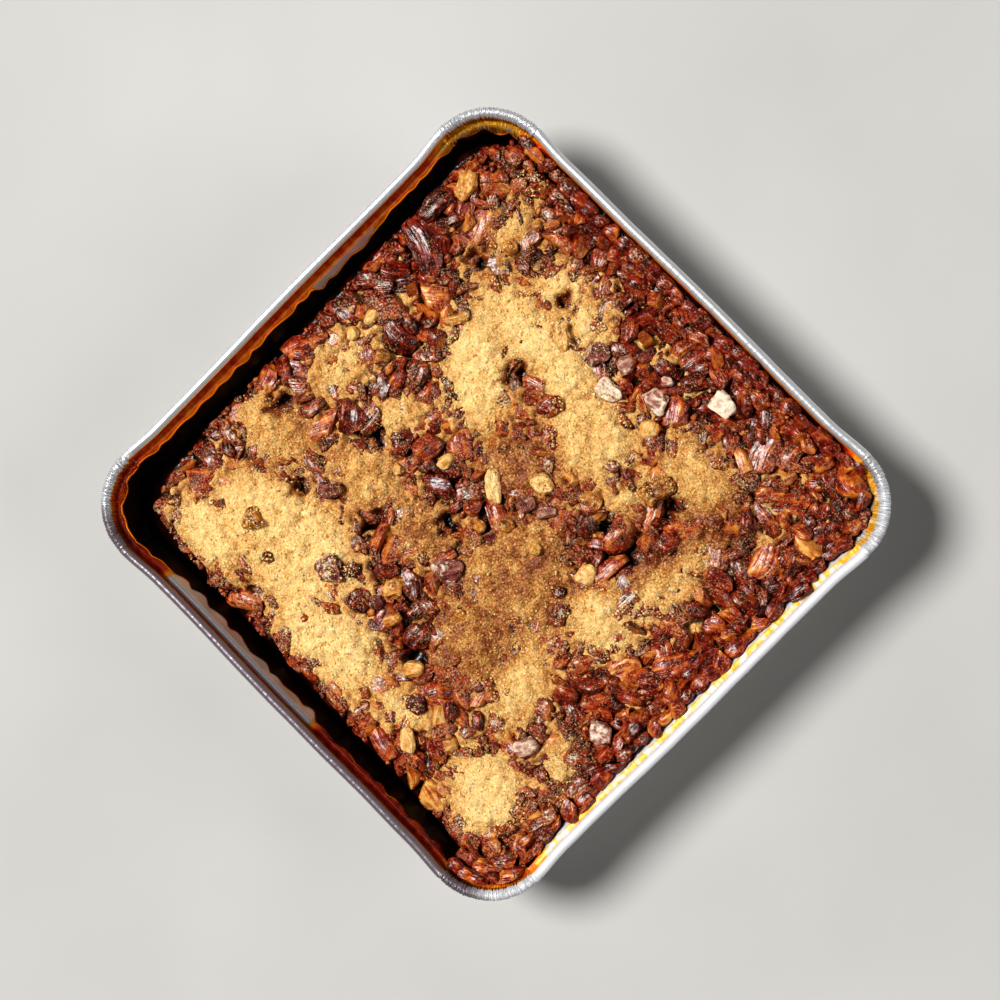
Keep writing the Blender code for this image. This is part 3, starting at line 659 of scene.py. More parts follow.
def syrup_line(x, y):
    """Height up to which black syrup baked onto the foil, without its scallops."""
    left, near = bare_foil(x, y)
    line = splashed(x, y, (34.0, 39.4, 38.6, 38.2), (34.5, 39.2, 37.4, 39.0))
    return (line - 3.2 * left - 2.4 * near) * MM


def wander(spot):
    """How far hand-bent foil wanders in and out there."""
    return noise.noise(spot / (34 * MM)) * 0.45 * MM + noise.noise(spot / (9 * MM)) * 0.12 * MM


def sunk_in(column, z):
    """How far the side is drawn in there: less towards the foot."""
    return drawn_in(column) * SIDE_DRAW * (0.15 + 0.85 * min(1.0, z / (20 * MM)))


def trench(x, y):
    """How far the food stays off the foil: a dark gap along -X and -Y, widest in their corner."""
    left = ease((-x - 74 * MM) / (14 * MM))
    near = ease((-y - 74 * MM) / (14 * MM)) * (1 - ease((x - 45 * MM) / (30 * MM)))
    corner = ease((-x - y - 145 * MM) / (20 * MM))
    return (1.5 * np.maximum(left, near) + 2.6 * corner) * MM


def pan_rows(pan):
    """The rings of the pan, from under its base over the rim down to the floor inside.

    Each is half its width, its corner radius, its height, its share of the pleats, and the part
    of the pan that it belongs to.
    """
    rim, height, bead, foil = pan.rim_side / 2, pan.height, pan.bead, pan.foil
    radius, collar = pan.rim_radius, rim - bead
    inner, wall_top = radius - bead, collar - LEDGE
    rows = [(FOOT_HALF - 22 * MM, FOOT_RADIUS * 0.8, 0.0, 0.0),
            (FOOT_HALF - 1.5 * MM, FOOT_RADIUS, 0.0, 0.05)]
    for i in range(5):  # rounding of the foot, outside
        turn = math.pi / 2 * i / 5
        rows.append((FOOT_HALF + FLOOR_EDGE * math.sin(turn) * 0.95, FOOT_RADIUS + 1.5 * MM * i / 5,
                     WALL_FOOT_Z * (1 - math.cos(turn)) * 0.9, 0.1 + 0.05 * i))
    low_half, low_radius = WALL_FOOT_HALF + foil, FOOT_RADIUS + foil
    for i in range(9):
        share = i / 8
        rows.append((low_half + share * (wall_top + foil - low_half),
                     low_radius + share * (inner - LEDGE + foil - low_radius),
                     WALL_FOOT_Z + share * (LEDGE_Z - foil - WALL_FOOT_Z),
                     0.35 + 0.65 * share ** 1.5))
    rows += [(collar + foil * 0.5, inner, LEDGE_Z - foil, 1.0),
             (collar + foil, inner + foil, LEDGE_Z + 0.3 * MM, 1.0),
             (collar + foil, inner + foil, height - bead * 0.78, 0.9)]
    for i in range(11):  # the rolled bead, from under its outer side over its top
        turn = math.radians(-150 + 265 * i / 10)
        reach = 0.47 * bead
        rows.append((rim - 0.5 * bead + reach * math.cos(turn) * 1.06,
                     radius - 0.5 * bead + reach * math.cos(turn),
                     height - 0.5 * bead + reach * math.sin(turn) * 1.05, 0.45))
    rows = [(*row, "clean") for row in rows]
    rows += [(collar + 0.1 * MM, inner, height - 0.35 * bead, 1.0, "edge"),
             (collar, inner, height - 0.62 * bead, 1.0, "collar"),
             (collar, inner, LEDGE_Z + 0.5 * MM, 1.0, "collar"),
             (collar - 0.4 * MM, inner - 0.4 * MM, LEDGE_Z + 0.05 * MM, 1.0, "ledge"),
             (wall_top + 0.8 * MM, inner - LEDGE + 0.8 * MM, LEDGE_Z, 1.0, "ledge"),
             (wall_top, inner - LEDGE, LEDGE_Z - 0.4 * MM, 1.0, "ledge")]
    for i in range(1, 17):
        share = 1 - (i / 16) ** 1.6
        z = WALL_FOOT_Z + share * (LEDGE_Z - 0.6 * MM - WALL_FOOT_Z)
        rows.append((wall_half(z), wall_radius(z), z, 0.35 + 0.65 * share ** 1.5, "wall"))
    for i in range(4):  # rounding of the floor, inside
        turn = math.pi / 2 * (1 - (i + 1) / 4)
        rows.append((FOOT_HALF + (FLOOR_EDGE - CAD_FOIL) * math.sin(turn) * 0.95, FOOT_RADIUS,
                     foil + (WALL_FOOT_Z - foil) * (1 - math.cos(turn)), 0.1, "wall"))
    return [*rows, (FOOT_HALF - 22 * MM, FOOT_RADIUS * 0.8, foil, 0.0, "wall")]


def pleat_crests(columns, pleats):
    """How far each column of a corner stands out, from 0 in a crease to 1."""
    rng = random.Random(3)
    heights = [rng.uniform(0.35, 1.0) for _ in range(4 * pleats)]
    crests = []
    for corner, arc, _ in columns:
        if arc is None:
            crests.append(0.0)
            continue
        share = arc * pleats + 1.2 * noise.noise(Vector((arc * 9, corner * 7, 0)))
        share = min(max(share, 0.0), pleats - 0.001)
        fold = 1 - abs(2 * (share % 1.0) - 1) ** 1.6
        crests.append(fold * heights[corner * pleats + int(share)])
    return crests


# How thick syrup lies on the sides +X, +Y, -X and -Y, and in the corners ++, +-, -+ and --.
STAINED = {
    "edge": ((0.05, 0.10, 0.12, 0.15), (0.05, 0.10, 0.12, 0.20)),
    "collar": ((0.18, 0.30, 0.55, 0.52), (0.18, 0.36, 0.36, 0.46)),
    "ledge": ((0.25, 0.90, 0.47, 0.62), (0.29, 0.44, 0.30, 0.56)),
    "wall": ((0.04, 0.98, 0.37, 0.56), (0.08, 0.90, 0.26, 0.50)),
}


def stain_at(belongs, x, y, z):
    """How thick syrup lies on the foil there, 0 to 1."""
    if belongs == "clean":
        return 0.0
    amount = splashed(x, y, *STAINED[belongs])
    left, near = bare_foil(x, y)
    if belongs in ("ledge", "wall"):
        amount *= 1 - min(1.0, near + (left if belongs == "wall" else 0.0))
    if belongs == "wall":
        amount += (1.0 - amount) * ease((syrup_line(x, y) - 2.2 * MM - z) / (1.2 * MM))
    return amount


def foil_pan(pan):
    """The pan as one sheet of foil: base, walls, ledge, collar and rolled rim, pleated corners."""
    rows, columns = pan_rows(pan), around_pan(pan.pleats)
    crests = pleat_crests(columns, pan.pleats)
    marks = {"stain": {}, "film": {}, "matt": {}, "ribbed": {}}

    def at(number, row):
        column = columns[number]
        half, radius, z, pleat, belongs = rows[row]
        place, out = on_outline(column, half, radius)
        spot = Vector((place.x, place.y, 0.0))
        pressed = 0.0 if column[1] is None else crests[number] - 1.0
        sunk = sunk_in(column, z) if z > 0 else 0.0
        place += out * (pressed * pan.pleat_depth * pleat - sunk
                        + wander(spot) * min(1.0, z / (20 * MM)) * 0.7)
        lift = 0.0
        if z > pan.height - 0.7 * pan.bead:
            lift = pressed * 0.2 * MM + noise.noise(spot / (14 * MM)) * 0.15 * MM - 0.15 * MM
        point = Vector((place.x, place.y, z + lift))
        for name, value in (
                ("stain", stain_at(belongs, place.x, place.y, z)),
                # painted shade: the foil past y = -99 mm, on the -Y side, is darkened
                ("film", 1.0 - ease((place.y + 99 * MM) / (6 * MM))),
                # painted light: the foil grows more matt towards +X, which shows that side bright
                ("matt", 0.3 + 0.6 * ease((place.x - 86 * MM) / (8 * MM))),
                ("ribbed", 1 - 0.85 * ease(8 * drawn_in(column)))):
            marks[name][key_of(point)] = value
        return point

    bm = shaped_grid(len(columns), len(rows) - 1, at, marks)
    bmesh.ops.holes_fill(bm, edges=open_edges(bm), sides=0)
    face_out(bm)
    obj = place_bmesh("foil_pan_dressed", bm, pressed_foil(pan))
    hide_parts("foil_pan")


# ---------------------------------------------------------------------------------------------
# The filling's surface

EDGE_Z, EDGE_TILT, EDGE_RISE = 29.5 * MM, (1.6 * MM, 3.4 * MM), 8 * MM
SURFACE_TILT, SWELL = (0.9 * MM, 1.8 * MM), 1.1 * MM
CRUMB_EDGE, CRUMB_RAGGED, CRUMB_LUMP, CRUMB_ROUGH = 0.7 * MM, 2.6 * MM, 9 * MM, 1.1 * MM


def edge_height(x, y):
    """Height at which the syrup meets the foil."""
    return EDGE_Z + (EDGE_TILT[0] * x + EDGE_TILT[1] * y) / wall_half(EDGE_Z)


def surface_height(x, y, mean):
    """Height of the filling's surface, the same as the solid's."""
    flat = mean + (SURFACE_TILT[0] * x + SURFACE_TILT[1] * y) / wall_half(EDGE_Z)
    swell = SWELL * lumps(x, y, 26 * MM)
    edge = edge_height(x, y)
    inward = ease((wall_distance(x, y, EDGE_Z) - 1.5 * MM) / EDGE_RISE)
    return edge + inward * (flat + swell - edge)


def in_oval(dx, dy, long, wide, turn):
    """How far out in a turned oval places lie, along it and across it; 1 is its edge."""
    c, s = math.cos(turn), math.sin(turn)
    return (c * dx + s * dy) / long, (-s * dx + c * dy) / wide


def away(x, y, cx, cy, reach):
    """How far out from a centre places lie; 1 is its reach. The centre and reach are in mm."""
    return np.hypot(x - cx * MM, y - cy * MM) / (reach * MM)


def crumb_depth(x, y):
    """Roughly how far places lie inside the crumb's outline, in metres; negative outside."""
    best = np.full(np.shape(x), -1.0)
    for cx, cy, long, wide, turn in CRUMB_MOUNDS:
        reach = np.hypot(*in_oval(x - cx * MM, y - cy * MM, long * MM, wide * MM,
                                  math.radians(turn)))
        best = np.maximum(best, (1 - reach) * min(long, wide) * MM)
    return best + CRUMB_RAGGED * lumps(x, y, 11 * MM, 40 * MM)


def pit_depth(x, y):
    """How far places are sunk by the pits, in metres."""
    sunk = np.zeros(np.shape(x))
    ragged = 1.1 * lumps(x, y, 3.4 * MM, 30 * MM)
    for cx, cy, reach in PITS:
        out = away(x, y, cx, cy, 0.8 * reach) + ragged
        sunk = np.maximum(sunk, 5.5 * MM * np.exp(-(np.maximum(out, 0) ** 3)))
    return sunk


def strewn(x, y, depth):
    """How thickly crumb is strewn on the pecans at places, 0 to 1."""
    much = ease(1 + depth / (10 * MM))
    for cx, cy, reach, most in STREWN:
        much = np.maximum(much, most * np.exp(-(away(x, y, cx, cy, reach) ** 2)))
    return much


def crumb_height(x, y, depth, filling, crumb):
    """Height of the crumb's top without its grains; below the syrup where there is none."""
    lump = 0.5 + 0.5 * lumps(x, y, CRUMB_LUMP, 90 * MM)
    clod = CRUMB_ROUGH * (lumps(x, y, 3.7 * MM) + 0.5 * lumps(x, y, 1.9 * MM, 25 * MM))
    caramel = np.exp(-away(x, y, 28, -37.5, 8) ** 4)
    clod = clod * (1 - 0.8 * caramel) + 1.6 * MM * caramel
    inner = ease(depth / (9 * MM))
    inside = CRUMB_EDGE + (crumb.most - CRUMB_EDGE) * inner * (0.45 + 0.75 * lump) + clod
    ragged = 1.8 * MM * lumps(x, y, 3.1 * MM, 20 * MM)
    outside = CRUMB_EDGE + 0.95 * (depth + ragged) + 0.5 * clod
    thick = np.where(depth > 0, np.minimum(inside, outside + 2.5 * MM), outside)
    # beside a mound the crumb has run down between the pecans
    patchy = 0.7 * lumps(x, y, 6.5 * MM, 55 * MM) + 0.7 * lumps(x, y, 2.2 * MM, 65 * MM)
    patchy *= crumb.drift * (1 - ease(depth / (4 * MM)))
    run = 0.9 * MM - 3.2 * MM * (1 - strewn(x, y, depth)) + patchy
    return surface_height(x, y, filling.surface) + np.maximum(thick, run) - pit_depth(x, y)


def dampness(x, y):
    """How far syrup has soaked the crumb at places, 0 to 1."""
    damp = np.zeros(np.shape(x))
    for cx, cy, reach, much in WET_CRUMB:
        damp = np.maximum(damp, much * np.exp(-(away(x, y, cx, cy, reach) ** 2) * 1.1))
    patchy = 0.75 + 0.45 * lumps(x, y, 5 * MM, 12 * MM)
    return np.clip(damp * patchy + 1.3 * pit_depth(x, y) / (7 * MM), 0, 1.3)


HEAP_HALF, HEAP_STEP = 98 * MM, 0.6 * MM  # grid of places
HEAP_RISE, PIT_SHARE = 4.3 * MM, 0.8  # limit above the mean surface, and how far a pit lowers it
PIECES_HALF = wall_half(34 * MM)  # the chopped pieces start inside a square of this half width
MOST_TILT = 0.6


class Heap:
    """The height of the food on a fine grid of places, which rises as pieces are laid on it."""

    def __init__(self, filling, crumb):
        count = int(2 * HEAP_HALF / HEAP_STEP) + 1
        axis = (np.arange(count) - (count - 1) / 2) * HEAP_STEP
        self.low = axis[0]
        self.x, self.y = np.meshgrid(axis, axis)
        surface = surface_height(self.x, self.y, filling.surface)
        self.depth = crumb_depth(self.x, self.y)
        self.crumb = crumb_height(self.x, self.y, self.depth, filling, crumb)
        pits = pit_depth(self.x, self.y)
        self.top = surface - filling.syrup_sunk - 0.35 * pits
        bumpy = 0.7 * MM * lumps(self.x[::4, ::4], self.y[::4, ::4], 13 * MM, 60 * MM)
        bumpy = np.repeat(np.repeat(bumpy, 4, 0), 4, 1)[:count, :count]
        beside = ease(1 + self.depth / (5 * MM))
        self.limit = surface + HEAP_RISE + bumpy - pits * PIT_SHARE - 1.3 * MM * beside
        # the filling rose against the +Y wall and in the corner of +X and -Y
        self.limit += 4.6 * MM * ease((self.y - 80 * MM) / (13 * MM))
        self.limit += 2.4 * MM * ease((self.x - 78 * MM) / (14 * MM))
        self.limit += 2.6 * MM * ease((self.x - self.y - 152 * MM) / (22 * MM))
        # few pieces stand out of the crumb, but some do at its edge, where it is wet and in pits
        damp = dampness(self.x, self.y)
        self.chance = 1 - 0.93 * ease((self.depth + 1 * MM) / (6 * MM)) + 0.22 * ease(damp - 0.3)
        self.chance = np.maximum(self.chance, ease(pits / (2 * MM)))
        for x, y, length, width, _, turn, *_ in LOOSE_PECANS:
            part, out = self.oval(x * MM, y * MM, 0.44 * length * MM, 0.42 * width * MM,
                                  math.radians(turn))
            self.limit[part] = np.where(out < 1, surface[part] + 0.4 * MM, self.limit[part])

    def index(self, x, y):
        """Row and column of the grid's place that is nearest."""
        return tuple(np.clip(np.round((np.asarray(v) - self.low) / HEAP_STEP).astype(int),
                             0, len(self.top) - 1) for v in (y, x))

    def oval(self, x, y, long, wide, turn):
        """The grid's places under an oval, and how far out in it each lies, 0 to 1."""
        reach = max(long, wide)
        i0, j0 = self.index(x - reach, y - reach)
        i1, j1 = self.index(x + reach, y + reach)
        part = (slice(int(i0), int(i1) + 1), slice(int(j0), int(j1) + 1))
        along, across = in_oval(self.x[part] - x, self.y[part] - y, long, wide, turn)
        return part, along ** 2 + across ** 2

    def lowest(self, rng, tries):
        """Of some random places, the one with the most room under the limit."""
        x, y = (np.array([rng.uniform(-PIECES_HALF, PIECES_HALF) for _ in range(tries)])
                for _ in range(2))
        at = self.index(x, y)
        gap = self.limit[at] - self.top[at]
        best = int(np.argmax(gap))
        return float(x[best]), float(y[best])

    def lay(self, x, y, size, turn, roll, rng, sink, cover):
        """Where a piece comes to rest: its matrix, or None if it has no room or isn't seen."""
        length, width, height = size
        half_high = 0.5 * math.hypot(height * math.cos(roll), width * math.sin(roll))
        half_wide = 0.5 * math.hypot(width * math.cos(roll), height * math.sin(roll))
        along = np.array((math.cos(turn), math.sin(turn)))
        side = np.array((-along[1], along[0]))
        # a piece near the wall is pushed back until it just fits; a high one may lie on the ledge
        for _ in range(4):
            tips = np.array([along * 0.5 * length, -along * 0.5 * length,
                             side * half_wide, -side * half_wide]) + (x, y)
            low = float(self.top[self.index(x, y)]) + 0.6 * half_high * (1 - sink)
            level = min(max(low - 0.5 * half_high, 27 * MM), LEDGE_Z)
            room = wall_distance(tips[:, 0], tips[:, 1], level) + CAD_PLEAT
            room += (LEDGE if low > LEDGE_Z else 0) - trench(x, y)
            worst = int(np.argmin(room))
            if room[worst] > 0:
                break
            tip = tips[worst] - (x, y)
            x -= (abs(room[worst]) + 0.1 * MM) * np.sign(tip[0]) * (abs(tip[0]) >= abs(tip[1]) - MM)
            y -= (abs(room[worst]) + 0.1 * MM) * np.sign(tip[1]) * (abs(tip[1]) >= abs(tip[0]) - MM)
        else:
            return None
        if rng.random() > self.chance[self.index(x, y)]:
            return None
        spots = np.array([(0, 0), *(along * 0.34 * length, -along * 0.34 * length),
                          *(side * 0.6 * half_wide, -side * 0.6 * half_wide)]) + (x, y)
        heights = self.top[self.index(spots[:, 0], spots[:, 1])]
        slopes = (0.85 * math.atan2(heights[1] - heights[2], 0.68 * length),
                  0.6 * math.atan2(heights[3] - heights[4], 1.2 * half_wide))
        pitch, bank = (max(-MOST_TILT, min(MOST_TILT, slope + rng.uniform(-0.12, 0.12)))
                       for slope in slopes)
        z = 0.35 * heights.max() + 0.65 * heights.mean() + half_high * (1 - sink)
        crown = z + half_high
        if crown > self.limit[self.index(x, y)]:
            return None
        ends = self.limit[self.index(spots[1:3, 0], spots[1:3, 1])]
        if z + 0.3 * half_high > ends.min():
            return None
        buried = self.crumb[self.index(spots[:, 0], spots[:, 1])] - cover
        if (crown - 0.25 * half_high < buried).all():
            return None
        part, out = self.oval(x, y, 0.5 * length, half_wide, turn)
        dome = z + half_high * 0.95 * np.sqrt(np.clip(1 - out, 0, 1))
        self.top[part] = np.where(out < 1, np.maximum(self.top[part], dome), self.top[part])
        return laid((x, y, z), turn, -pitch, bank + roll)


def syrup_core(filling):
    """The filling's body with its glossy syrup surface."""
    columns = around_pan(SYRUP_PLEATS)
    clear = 0.3 * MM
    rings = []
    for half, z, share in ((FOOT_HALF, CAD_FOIL + clear, 0.15),
                           (WALL_FOOT_HALF, WALL_FOOT_Z + 0.5 * MM, 0.35)):
        ring = []
        for column in columns:
            place, out = on_outline(column, half - clear - share * CAD_PLEAT, FOOT_RADIUS)
            place -= out * drawn_in(column) * SIDE_DRAW * share
            ring.append(Vector((place.x, place.y, z)))
        rings.append(ring)
    edge = []
    for column in columns:
        z = EDGE_Z
        for _ in range(2):
            half = wall_half(z) - clear - CAD_PLEAT
            place, out = on_outline(column, half, wall_radius(z) - clear)
            place -= out * drawn_in(column) * SIDE_DRAW
            z = float(edge_height(place.x, place.y))
        edge.append(Vector((place.x, place.y, z)))
    rings.append([a.lerp(b, 0.5) for a, b in zip(rings[-1], edge)])
    rings.append(edge)
    steps = 52
    for i in range(1, steps):
        share = 1 - (i / steps) ** 0.9
        x = np.array([p.x for p in edge]) * share
        y = np.array([p.y for p in edge]) * share
        inner = ease(i / 4)
        z = surface_height(x, y, filling.surface) - filling.syrup_sunk * inner
        z += 0.5 * MM * inner * lumps(x, y, 6 * MM, 7 * MM) - 0.35 * pit_depth(x, y)
        rings.append([Vector(p) for p in zip(x, y, z)])
    bm = shaped_grid(len(columns), len(rings) - 1, lambda column, row: rings[row][column])
    bmesh.ops.holes_fill(bm, edges=open_edges(bm), sides=0)
    face_out(bm)
    obj = place_bmesh("syrup_filling", bm, baked_syrup(filling.syrup_colour))
    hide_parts("pecan_filling")


def scallop_tops(columns):
    """Height of the rind's edge at each column: scallops about 6 to 14 mm long, 1 to 3 mm deep."""
    tops, phase, before = [], 0.0, None
    for column in columns:
        place, _ = on_outline(column, wall_half(35 * MM), wall_radius(35 * MM))
        spot = Vector((place.x, place.y, 0))
        step = (place - before).length if before else 0.0
        before = place
        phase += math.pi * step / (9.0 * MM) * (1 + 0.9 * noise.noise(spot / (16 * MM)))
        deep = 2.1 * MM * (1 + 1.1 * noise.noise(spot / (11 * MM)))
        top = syrup_line(place.x, place.y) + 1.4 * MM
        top += 0.5 * MM * noise.noise(spot / (30 * MM)) - deep * abs(math.sin(phase))
        tops.append(min(top, LEDGE_Z - 0.5 * MM))
    return tops


def syrup_rim():
    """The scalloped rind of syrup that baked onto the foil above the filling."""
    columns = around_pan(RIND_PLEATS)
    tops = scallop_tops(columns)
    base, thick = EDGE_Z - 5 * MM, 0.3 * MM
    # share of the rind's height, and how far it stands off the foil: up behind it, down in front
    profile = ((0.0, -0.05 * MM), (0.5, -0.05 * MM), (1.0, 0.0), (0.985, thick * 0.9),
               (0.93, thick), (0.5, thick * 1.6), (0.0, thick * 3))
    marks = {"climb": {}}

    def at(number, row):
        share, off = profile[row]
        column = columns[number]
        z = base + share * (tops[number] - base)
        place, out = on_outline(column, wall_half(z), wall_radius(z))
        sunk = sunk_in(column, z) + (0.45 * MM if column[1] is not None else 0.0)
        above = min(1.0, z / (20 * MM))
        place += out * (wander(Vector((place.x, place.y, 0))) * above * 0.7 - sunk - off - 0.1 * MM)
        point = Vector((place.x, place.y, z))
        # painted highlight: the rind's edge is bright amber only along -X and its corners
        bright = splashed(place.x, place.y, (0.0, 0.0, 1.0, 0.3), (0.0, 0.0, 0.6, 0.9))
        marks["climb"][key_of(point)] = share * (0.92 + 0.06 * bright)
        return point

    bm = shaped_grid(len(columns), len(profile) - 1, at, marks)
    bmesh.ops.bridge_loops(bm, edges=open_edges(bm))
    face_out(bm)
    place_bmesh("baked_on_syrup", bm, syrup_rind())


# ---------------------------------------------------------------------------------------------
# Pecans

SLOTS = {"glazed": "pecan", "tan": "pecan_tan", "pale": "pecan_pale"}
DROP_Z, DOWN = 0.06, Vector((0, 0, -1))  # where a thing is dropped from, and which way


def pecan_shape(size, cuts, rng, around, along, crisp=False):
    """A chopped pecan half along X: ridged lobes with a groove, its ends broken off.

    cuts are the shares cut off its ends, and a third number above 0 splits it along its groove.
    Broken faces get material 1.
    """
    length, width, height = size
    bm = new_bmesh()
    bmesh.ops.create_uvsphere(bm, u_segments=around, v_segments=along, radius=0.5, calc_uvs=True)
    bmesh.ops.rotate(bm, verts=bm.verts, matrix=Matrix.Rotation(math.pi / 2, 3, "Y"))
    drift = Vector([rng.uniform(-50, 50) for _ in range(3)])
    phase, groove = rng.uniform(0, math.tau), rng.uniform(0.15, 0.45)
    bend = rng.uniform(-0.10, 0.10)
    ridges = 5 if around < 24 else 7
    for vertex in bm.verts:
        x, y, z = vertex.co
        ring = math.hypot(y, z) * 2
        # blunter than a ball at its ends
        fuller = ((1 - min(1.0, abs(2 * x)) ** 2.8) ** 0.45 / ring) if 0.05 < ring else 1.0
        angle = math.atan2(z, y)
        waver = 1.2 * noise.noise(Vector((x * 2.2, 0, 0)) + drift)
        upper = math.exp(-(((angle - math.pi / 2) / 0.26) ** 2))
        lower = math.exp(-(((angle + math.pi / 2) / 0.30) ** 2))
        ridge = 0.09 * math.cos(ridges * angle + phase + 3 * waver) * (1 - 0.5 * abs(2 * x))
        dent = 1 - groove * upper - 0.20 * lower + ridge
        rough = 1 + 0.34 * noise.noise(Vector((x * 3.2, y * 3.2, z * 3.2)) + drift)
        vertex.co = Vector((
            x * length * (1 + 0.14 * noise.noise(vertex.co * 2 - drift)),
            y * width * dent * rough * fuller + bend * length * (4 * x * x - 0.3),
            z * (0.8 if z < 0 else 1.08) * height * dent * rough * fuller
            + 0.08 * height * (1 - 4 * x * x),
        ))
    planes = []
    for side, cut in zip((1, -1), cuts):
        if cut > 0:
            slant = Vector((side, rng.uniform(-0.8, 0.8), rng.uniform(-0.6, 0.6))).normalized()
            planes.append((Vector((side * length * (0.5 - cut), 0, 0)), slant))
    if len(cuts) > 2 and cuts[2] > 0:
        slant = Vector((rng.uniform(-0.3, 0.3), 1, rng.uniform(-0.5, 0.5))).normalized()
        planes.append((Vector((0, rng.uniform(0.0, 0.14) * width, 0)), slant))
    for place, normal in planes:
        bmesh.ops.bisect_plane(bm, geom=bm.verts[:] + bm.edges[:] + bm.faces[:],
                               dist=0.01 * MM, plane_co=place, plane_no=normal, clear_outer=True)
        made = bmesh.ops.holes_fill(bm, edges=open_edges(bm), sides=0)
        inner = bmesh.ops.inset_region(bm, faces=made["faces"], thickness=0.12 * width,
                                       depth=rng.uniform(-0.04, 0.08) * width)
        poked = bmesh.ops.poke(bm, faces=made["faces"], offset=rng.uniform(-0.06, 0.10) * width)
        for face in (*inner["faces"], *poked["faces"]):
            face.material_index = 1
    # the glaze rounds the broken edges
    bmesh.ops.smooth_vert(bm, verts=bm.verts, factor=0.25 if crisp else 0.4,
                          use_axis_x=True, use_axis_y=True, use_axis_z=True)
    bmesh.ops.triangulate(bm, faces=bm.faces)
    bmesh.ops.recalc_face_normals(bm, faces=bm.faces)
    return bm


def arrays(bm):
    """The points, triangles, material slots and UVs of a bmesh, as arrays. Frees it."""
    bm.verts.index_update()
    uv = bm.loops.layers.uv.active
    points = np.array([v.co for v in bm.verts])
    faces = np.array([[v.index for v in f.verts] for f in bm.faces])
    slots = np.array([f.material_index for f in bm.faces])
    uvs = np.array([[loop[uv].uv[:] for loop in f.loops] for f in bm.faces])
    bm.free()
    return points, faces, slots, uvs


def pressed_in(points):
    """Moves the points that lie past the pan's wall back inside it."""
    x, y, z = points.T
    room = wall_distance(x, y, np.clip(z, WALL_FOOT_Z, LEDGE_Z)) + CAD_PLEAT - 0.3 * MM
    room += np.where(z > LEDGE_Z - 0.2 * MM, LEDGE, 0)
    # towards the middle, far enough even where that runs at 45 degrees to the wall
    back = 1 - np.clip(-room, 0, None) * math.sqrt(2) / np.hypot(x, y)
    return np.column_stack((x * back, y * back, z))


def joined(name, copies, finishes, crease=70, filling=None):
    """One object of many copies, each (arrays, matrix, values of the attributes by name).

    Edges past crease degrees stay sharp, and at 0 every face is flat. With filling given, the
    pan's wall presses the copies in, a near attribute says how thickly crumb is strewn there, and
    a sunk attribute how far the point lies down in the syrup, both from 0 to 1 (painted shade).
    """
    points, faces, slots, uvs = [], [], [], []
    values = {key: [] for key in copies[0][2]}
    first = 0
    for (co, tri, slot, uv), matrix, amounts in copies:
        m = np.array(matrix)
        points.append(co @ m[:3, :3].T + m[:3, 3])
        faces.append(tri + first)
        slots.append(slot)
        uvs.append(uv)
        for key, amount in amounts.items():
            values[key].append(np.full(len(co), amount))
        first += len(co)
    points = np.concatenate(points)
    if filling:
        points = pressed_in(points)
        x, y = points[:, 0], points[:, 1]
        ragged = lumps(x, y, 5 * MM, 70 * MM)
        much = strewn(x, y, crumb_depth(x, y) + 3.5 * MM * ragged)
        values["near"] = [np.clip(much + 0.5 * ragged, 0, 1)]
        # painted shade: how far below the syrup's top the point lies
        below = surface_height(x, y, filling.surface) + 2.4 * MM - points[:, 2]
        values["sunk"] = [ease(below / (3.6 * MM))]
    mesh = bpy.data.meshes.new(name)
    mesh.from_pydata(points, [], np.concatenate(faces))
    mesh.polygons.foreach_set("material_index", np.concatenate(slots))
    mesh.polygons.foreach_set("use_smooth", np.full(len(mesh.polygons), crease > 0))
    mesh.uv_layers.new(name="UVMap").data.foreach_set("uv", np.concatenate(uvs).ravel())
    for key, amounts in values.items():
        layer = mesh.attributes.new(key, "FLOAT", "POINT")
        layer.data.foreach_set("value", np.concatenate(amounts))
    if 0 < crease < 180:
        mesh.set_sharp_from_angle(angle=math.radians(crease))
    mesh.update()
    return place_mesh(name, mesh, finishes)


def unit_pecans(rng):
    """30 chopped pecans about 1 long, each as its arrays and its extent."""
    units = []
    for number in range(30):
        width, height = rng.uniform(0.52, 0.72), rng.uniform(0.42, 0.56)
        kind = number % 6
        if kind == 0:
            cuts = (0.0, rng.uniform(0.0, 0.15))
        elif kind in (1, 2):
            cuts = (rng.uniform(0.16, 0.36), rng.uniform(0.0, 0.15))
        elif kind == 3:
            cuts = (rng.uniform(0.18, 0.32), rng.uniform(0.16, 0.32))
        else:
            cuts = (rng.uniform(0.0, 0.24), rng.uniform(0.08, 0.26), 1.0)
        bm = pecan_shape((1.0, width, height), cuts, rng, 18, 8, crisp=True)
        low, high = (np.array([most(v.co[k] for v in bm.verts) for k in range(3)])
                     for most in (min, max))
        bmesh.ops.translate(bm, verts=bm.verts, vec=Vector(-(low + high) / 2))
        units.append((arrays(bm), high - low))
    return units


def unit_chips(rng):
    """16 chips about 1 long, each as its arrays and its extent."""
    units = []
    for _ in range(16):
        bm = new_bmesh()
        bmesh.ops.create_icosphere(bm, subdivisions=1, radius=0.5, calc_uvs=True)
        bmesh.ops.scale(bm, verts=bm.verts, vec=(1, rng.uniform(0.55, 0.9), rng.uniform(0.35, 0.6)))
        for vertex in bm.verts:
            vertex.co *= rng.uniform(0.8, 1.2)
        for face in bm.faces:
            face.material_index = rng.choice((0, 0, 1))
        units.append((arrays(bm), np.array((1.0, 0.75, 0.5))))
    return units


